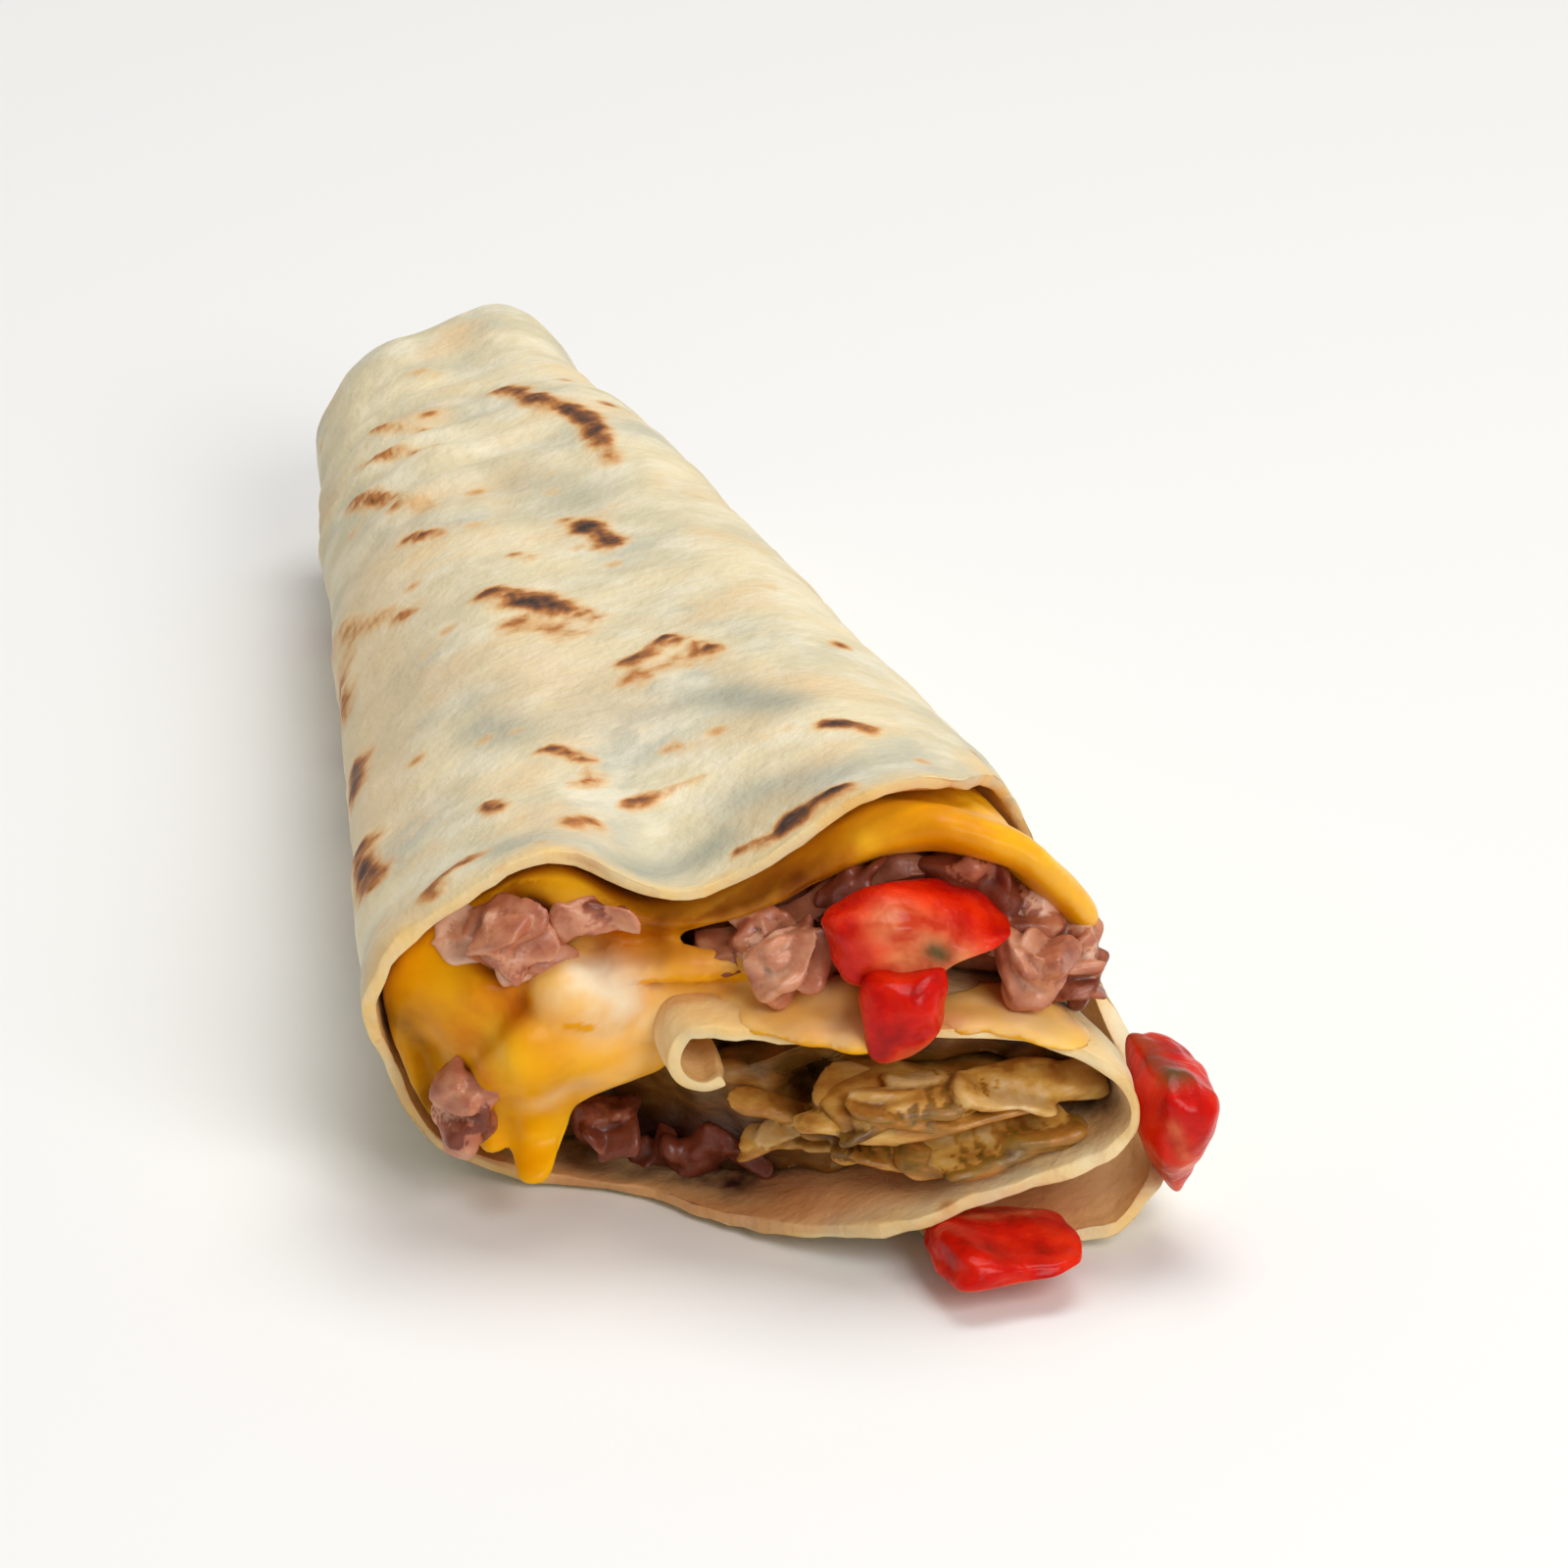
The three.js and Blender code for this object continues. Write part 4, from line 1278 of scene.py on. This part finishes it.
def shredded_lump(clump):
    """A clump of torn ham: several scraps round a core, merged and fitted to its CAD box."""
    scraps = 8
    spread = 0.24
    side_shares = (0.6, 0.95)
    thickness_mm = (1.4, 2.2)
    turn_reach = 0.9
    wave_mm = 5.0
    bend_mm = 1.5
    tone_reach = 0.12
    voxel_mm = 0.33
    low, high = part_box(clump.node)
    size = high - low
    middle = (low + high) / 2
    chooser = random.Random(clump.seed)
    parts = []
    for scrap in range(scraps):
        bit = chopped_bit(clump.seed + scrap, HAM_RAGGEDNESS)
        shift = Vector([chooser.uniform(-spread, spread) * side for side in size])
        scale = Vector([chooser.uniform(*side_shares) * side for side in size])
        scale.z = chooser.uniform(*thickness_mm) * MM
        turn = Euler([chooser.uniform(-turn_reach, turn_reach) for _ in range(3)])
        bit.data.transform(Matrix.LocRotScale(middle + shift, turn, scale))
        move_points(bit, crumple(points_of(bit), wave_mm, bend_mm))
        tone = clump.tone + chooser.uniform(-tone_reach, tone_reach)
        store(bit, "tone", np.full(len(bit.data.vertices), tone))
        parts.append(bit)
    piece = merge_bits(parts, voxel_mm)
    piece.name = clump.name
    fit_to_box(piece, points_of(piece), low, high)
    return piece


def store_pepper(piece):
    """The cut flesh faces down and shows in pale spots. The skin may be charred at its tip, and has dark
    green-grey spots where the marks say.
    """
    flesh_strength = 0.8
    flesh_start = 0.25
    tip_start = 0.92
    tip_sharpness = 12
    upward = normals_of(piece)[:, 2]
    heights = points_of(piece)[:, 2]
    downward = np.clip(-flesh_strength * upward - flesh_start, 0, 1)
    height_share = (heights - heights.min()) / np.ptp(heights)
    tip = np.clip((height_share - tip_start) * tip_sharpness, 0, 1) * CHARRED_TIPS.get(piece.name, 0.0)
    store(piece, "flesh", np.maximum(downward, mark_field(piece, PEPPER_FLESH.get(piece.name, ()))))
    store(piece, "charred", np.maximum(tip, mark_field(piece, PEPPER_DARK_SPOTS.get(piece.name, ()))))


# The stage

def make_floor():
    """A plain pale floor under the roll."""
    bpy.ops.object.select_all(action="DESELECT")
    bpy.ops.mesh.primitive_plane_add(size=FLOOR_SIZE, location=(0, 0, -FLOOR_GAP))
    floor = bpy.context.object
    floor.name = "floor"
    material, shader = new_material("Matt white paint, rolled")
    plug_in(material, shader, {"Base Color": paint("F7F6F3"), "Roughness": 0.9})
    floor.data.materials.append(material)


def make_lights(settings):
    """A large soft light above and behind, one in front, and an even surround."""
    powers = {"key light": settings.key_power, "fill light": settings.fill_power}
    middle = (CAD_LOW + CAD_HIGH) / 2
    for name, power in powers.items():
        bpy.ops.object.light_add(type="AREA", location=LIGHT_PLACES[name])
        light = bpy.context.object
        light.name = name
        light.data.size = LIGHT_SIZES[name]
        light.data.energy = power
        light.rotation_euler = (middle - light.location).to_track_quat("-Z", "Y").to_euler()
    scene = bpy.context.scene
    world = scene.world or bpy.data.worlds.new("surround")
    scene.world = world
    world.use_nodes = True
    background = world.node_tree.nodes["Background"]
    plug_in(world, background, {"Color": paint("FFFFFF"), "Strength": settings.surround})
    scene.view_settings.view_transform = "Standard"


def make_camera(settings):
    """The photograph's viewing angle, with the roll in the middle of the picture."""
    bpy.ops.object.camera_add(location=camera_place())
    camera = bpy.context.object
    camera.name = "camera"
    camera.data.sensor_width = SENSOR_WIDTH
    camera.data.lens = SENSOR_WIDTH * PHOTO_DISTANCE / settings.framed_width
    camera.rotation_euler = photo_ray(ROLL_CENTRE_PIXEL).to_track_quat("-Z", "Y").to_euler()
    bpy.context.scene.camera = camera


# Settings

class BreadSettings(bpy.types.PropertyGroup):
    """The sizes and colours of the bread."""

    cream: bpy.props.FloatVectorProperty(
        name="Cream", description="Colour of the floury dough", subtype="COLOR", size=3,
        default=linear("E1D3AC"))
    blister: bpy.props.FloatProperty(
        name="Blister height", description="How far a browned blister stands up", unit="LENGTH",
        default=0.3 * MM)
    unevenness: bpy.props.FloatProperty(
        name="Unevenness", description="How far the rolled dough waves up and down", unit="LENGTH",
        default=0.3 * MM)
    raggedness: bpy.props.FloatProperty(
        name="Rim raggedness", description="How far the torn rim runs in and out", unit="LENGTH",
        default=1.3 * MM)
    rim_thinning: bpy.props.FloatProperty(
        name="Rim thinning", description="How much thinner the rim is on each of its faces", unit="LENGTH",
        default=0.42 * MM)
    lip: bpy.props.FloatProperty(
        name="Lip height", description="How far the rim curls up", unit="LENGTH", default=0.7 * MM)
    moisture: bpy.props.FloatProperty(
        name="Moisture", description="How golden the inner side of the bread is", default=0.75)
    unseen_spots: bpy.props.IntProperty(
        name="Hidden spots", description="Browned spots on the faces that the photograph doesn't show",
        default=75)
    spot_seed: bpy.props.IntProperty(
        name="Spot seed", description="Start of the choice of the hidden spots", default=11)


class FillingSettings(bpy.types.PropertyGroup):
    """The colours of the fillings."""

    cheese: bpy.props.FloatVectorProperty(
        name="Cheese", description="Colour of the melted cheese", subtype="COLOR", size=3,
        default=linear("FBB206"))
    pepper: bpy.props.FloatVectorProperty(
        name="Pepper", description="Colour of the pepper's skin", subtype="COLOR", size=3,
        default=linear("CC1002"))
    ham: bpy.props.FloatVectorProperty(
        name="Ham", description="Colour of the ham", subtype="COLOR", size=3,
        default=linear("B4694A"))
    mushroom: bpy.props.FloatVectorProperty(
        name="Mushroom", description="Colour of the mushroom", subtype="COLOR", size=3,
        default=linear("B2742A"))
    scrap_seed: bpy.props.IntProperty(
        name="Scrap seed", description="Start of the choice of places for the small scraps", default=7)


class StageSettings(bpy.types.PropertyGroup):
    """The light and the framing."""

    framed_width: bpy.props.FloatProperty(
        name="Framed width", description="Width of the picture at the roll", unit="LENGTH",
        default=132 * MM)
    key_power: bpy.props.FloatProperty(
        name="Key light", description="Power of the large soft light", unit="POWER", default=4.8)
    fill_power: bpy.props.FloatProperty(
        name="Fill light", description="Power of the light from the front", unit="POWER", default=5.1)
    surround: bpy.props.FloatProperty(
        name="Surround", description="Strength of the even light from all sides", default=0.3)


# Operators

class GOZLEME_OT_bread(bpy.types.Operator):
    """Make the rolled sheet of bread."""

    bl_idname = "gozleme.bread"
    bl_label = "Bread"

    def execute(self, context):
        make_bread(context.scene.gozleme_bread)
        return {"FINISHED"}


class GOZLEME_OT_cheese(bpy.types.Operator):
    """Make the melted cheese with its folds and drips."""

    bl_idname = "gozleme.cheese"
    bl_label = "Melted cheese"

    def execute(self, context):
        make_cheese(context.scene.gozleme_filling)
        return {"FINISHED"}


class GOZLEME_OT_minced(bpy.types.Operator):
    """Make the chopped ham and the pocket's filling, with the small bits in front of them."""

    bl_idname = "gozleme.minced"
    bl_label = "Chopped fillings"

    def execute(self, context):
        make_chopped(context.scene.gozleme_filling)
        return {"FINISHED"}


class GOZLEME_OT_peppers(bpy.types.Operator):
    """Make the pieces of red pepper."""

    bl_idname = "gozleme.peppers"
    bl_label = "Red pepper"

    def execute(self, context):
        material = pepper_material(context.scene.gozleme_filling)
        for lump in PEPPER_LUMPS:
            piece = shaped_lump(lump)
            store_pepper(piece)
            finish_piece(piece, material, [lump.node])
        return {"FINISHED"}


class GOZLEME_OT_ham(bpy.types.Operator):
    """Make the larger pieces of ham."""

    bl_idname = "gozleme.ham"
    bl_label = "Ham"

    def execute(self, context):
        material = ham_material(context.scene.gozleme_filling)
        for clump in HAM_CLUMPS:
            finish_piece(shredded_lump(clump), material, [clump.node])
        return {"FINISHED"}


class GOZLEME_OT_mushrooms(bpy.types.Operator):
    """Make the slices of mushroom."""

    bl_idname = "gozleme.mushrooms"
    bl_label = "Mushroom"

    def execute(self, context):
        material = mushroom_material(context.scene.gozleme_filling)
        for lump in MUSHROOM_LUMPS:
            finish_piece(shaped_lump(lump), material, [lump.node])
        return {"FINISHED"}


class GOZLEME_OT_stage(bpy.types.Operator):
    """Make the floor, the lights and the camera."""

    bl_idname = "gozleme.stage"
    bl_label = "Stage"

    def execute(self, context):
        settings = context.scene.gozleme_stage
        make_floor()
        make_lights(settings)
        make_camera(settings)
        return {"FINISHED"}


# The panel and the add-on

class GOZLEME_PT_panel(bpy.types.Panel):
    """Lists the pieces and their settings."""

    bl_idname = "GOZLEME_PT_panel"
    bl_label = "Rolled gozleme"
    bl_space_type = "VIEW_3D"
    bl_region_type = "UI"
    bl_category = "Gozleme"

    def draw(self, context):
        scene = context.scene
        for operator in OPERATORS:
            self.layout.operator(operator.bl_idname)
        for settings in (scene.gozleme_bread, scene.gozleme_filling, scene.gozleme_stage):
            for name in settings.__annotations__:
                self.layout.prop(settings, name)


OPERATORS = (
    GOZLEME_OT_bread,
    GOZLEME_OT_cheese,
    GOZLEME_OT_minced,
    GOZLEME_OT_peppers,
    GOZLEME_OT_ham,
    GOZLEME_OT_mushrooms,
    GOZLEME_OT_stage,
)
CLASSES = (BreadSettings, FillingSettings, StageSettings, *OPERATORS, GOZLEME_PT_panel)


def register():
    """Adds the settings, the operators and the panel."""
    for made in CLASSES:
        bpy.utils.register_class(made)
    bpy.types.Scene.gozleme_bread = bpy.props.PointerProperty(type=BreadSettings)
    bpy.types.Scene.gozleme_filling = bpy.props.PointerProperty(type=FillingSettings)
    bpy.types.Scene.gozleme_stage = bpy.props.PointerProperty(type=StageSettings)


def unregister():
    """Takes away what register added."""
    del bpy.types.Scene.gozleme_stage
    del bpy.types.Scene.gozleme_filling
    del bpy.types.Scene.gozleme_bread
    for made in reversed(CLASSES):
        bpy.utils.unregister_class(made)


def main():
    """Makes all the pieces and the stage."""
    register()
    bpy.ops.gozleme.bread()
    bpy.ops.gozleme.cheese()
    bpy.ops.gozleme.minced()
    bpy.ops.gozleme.peppers()
    bpy.ops.gozleme.ham()
    bpy.ops.gozleme.mushrooms()
    bpy.ops.gozleme.stage()


if __name__ == "__main__":
    main()
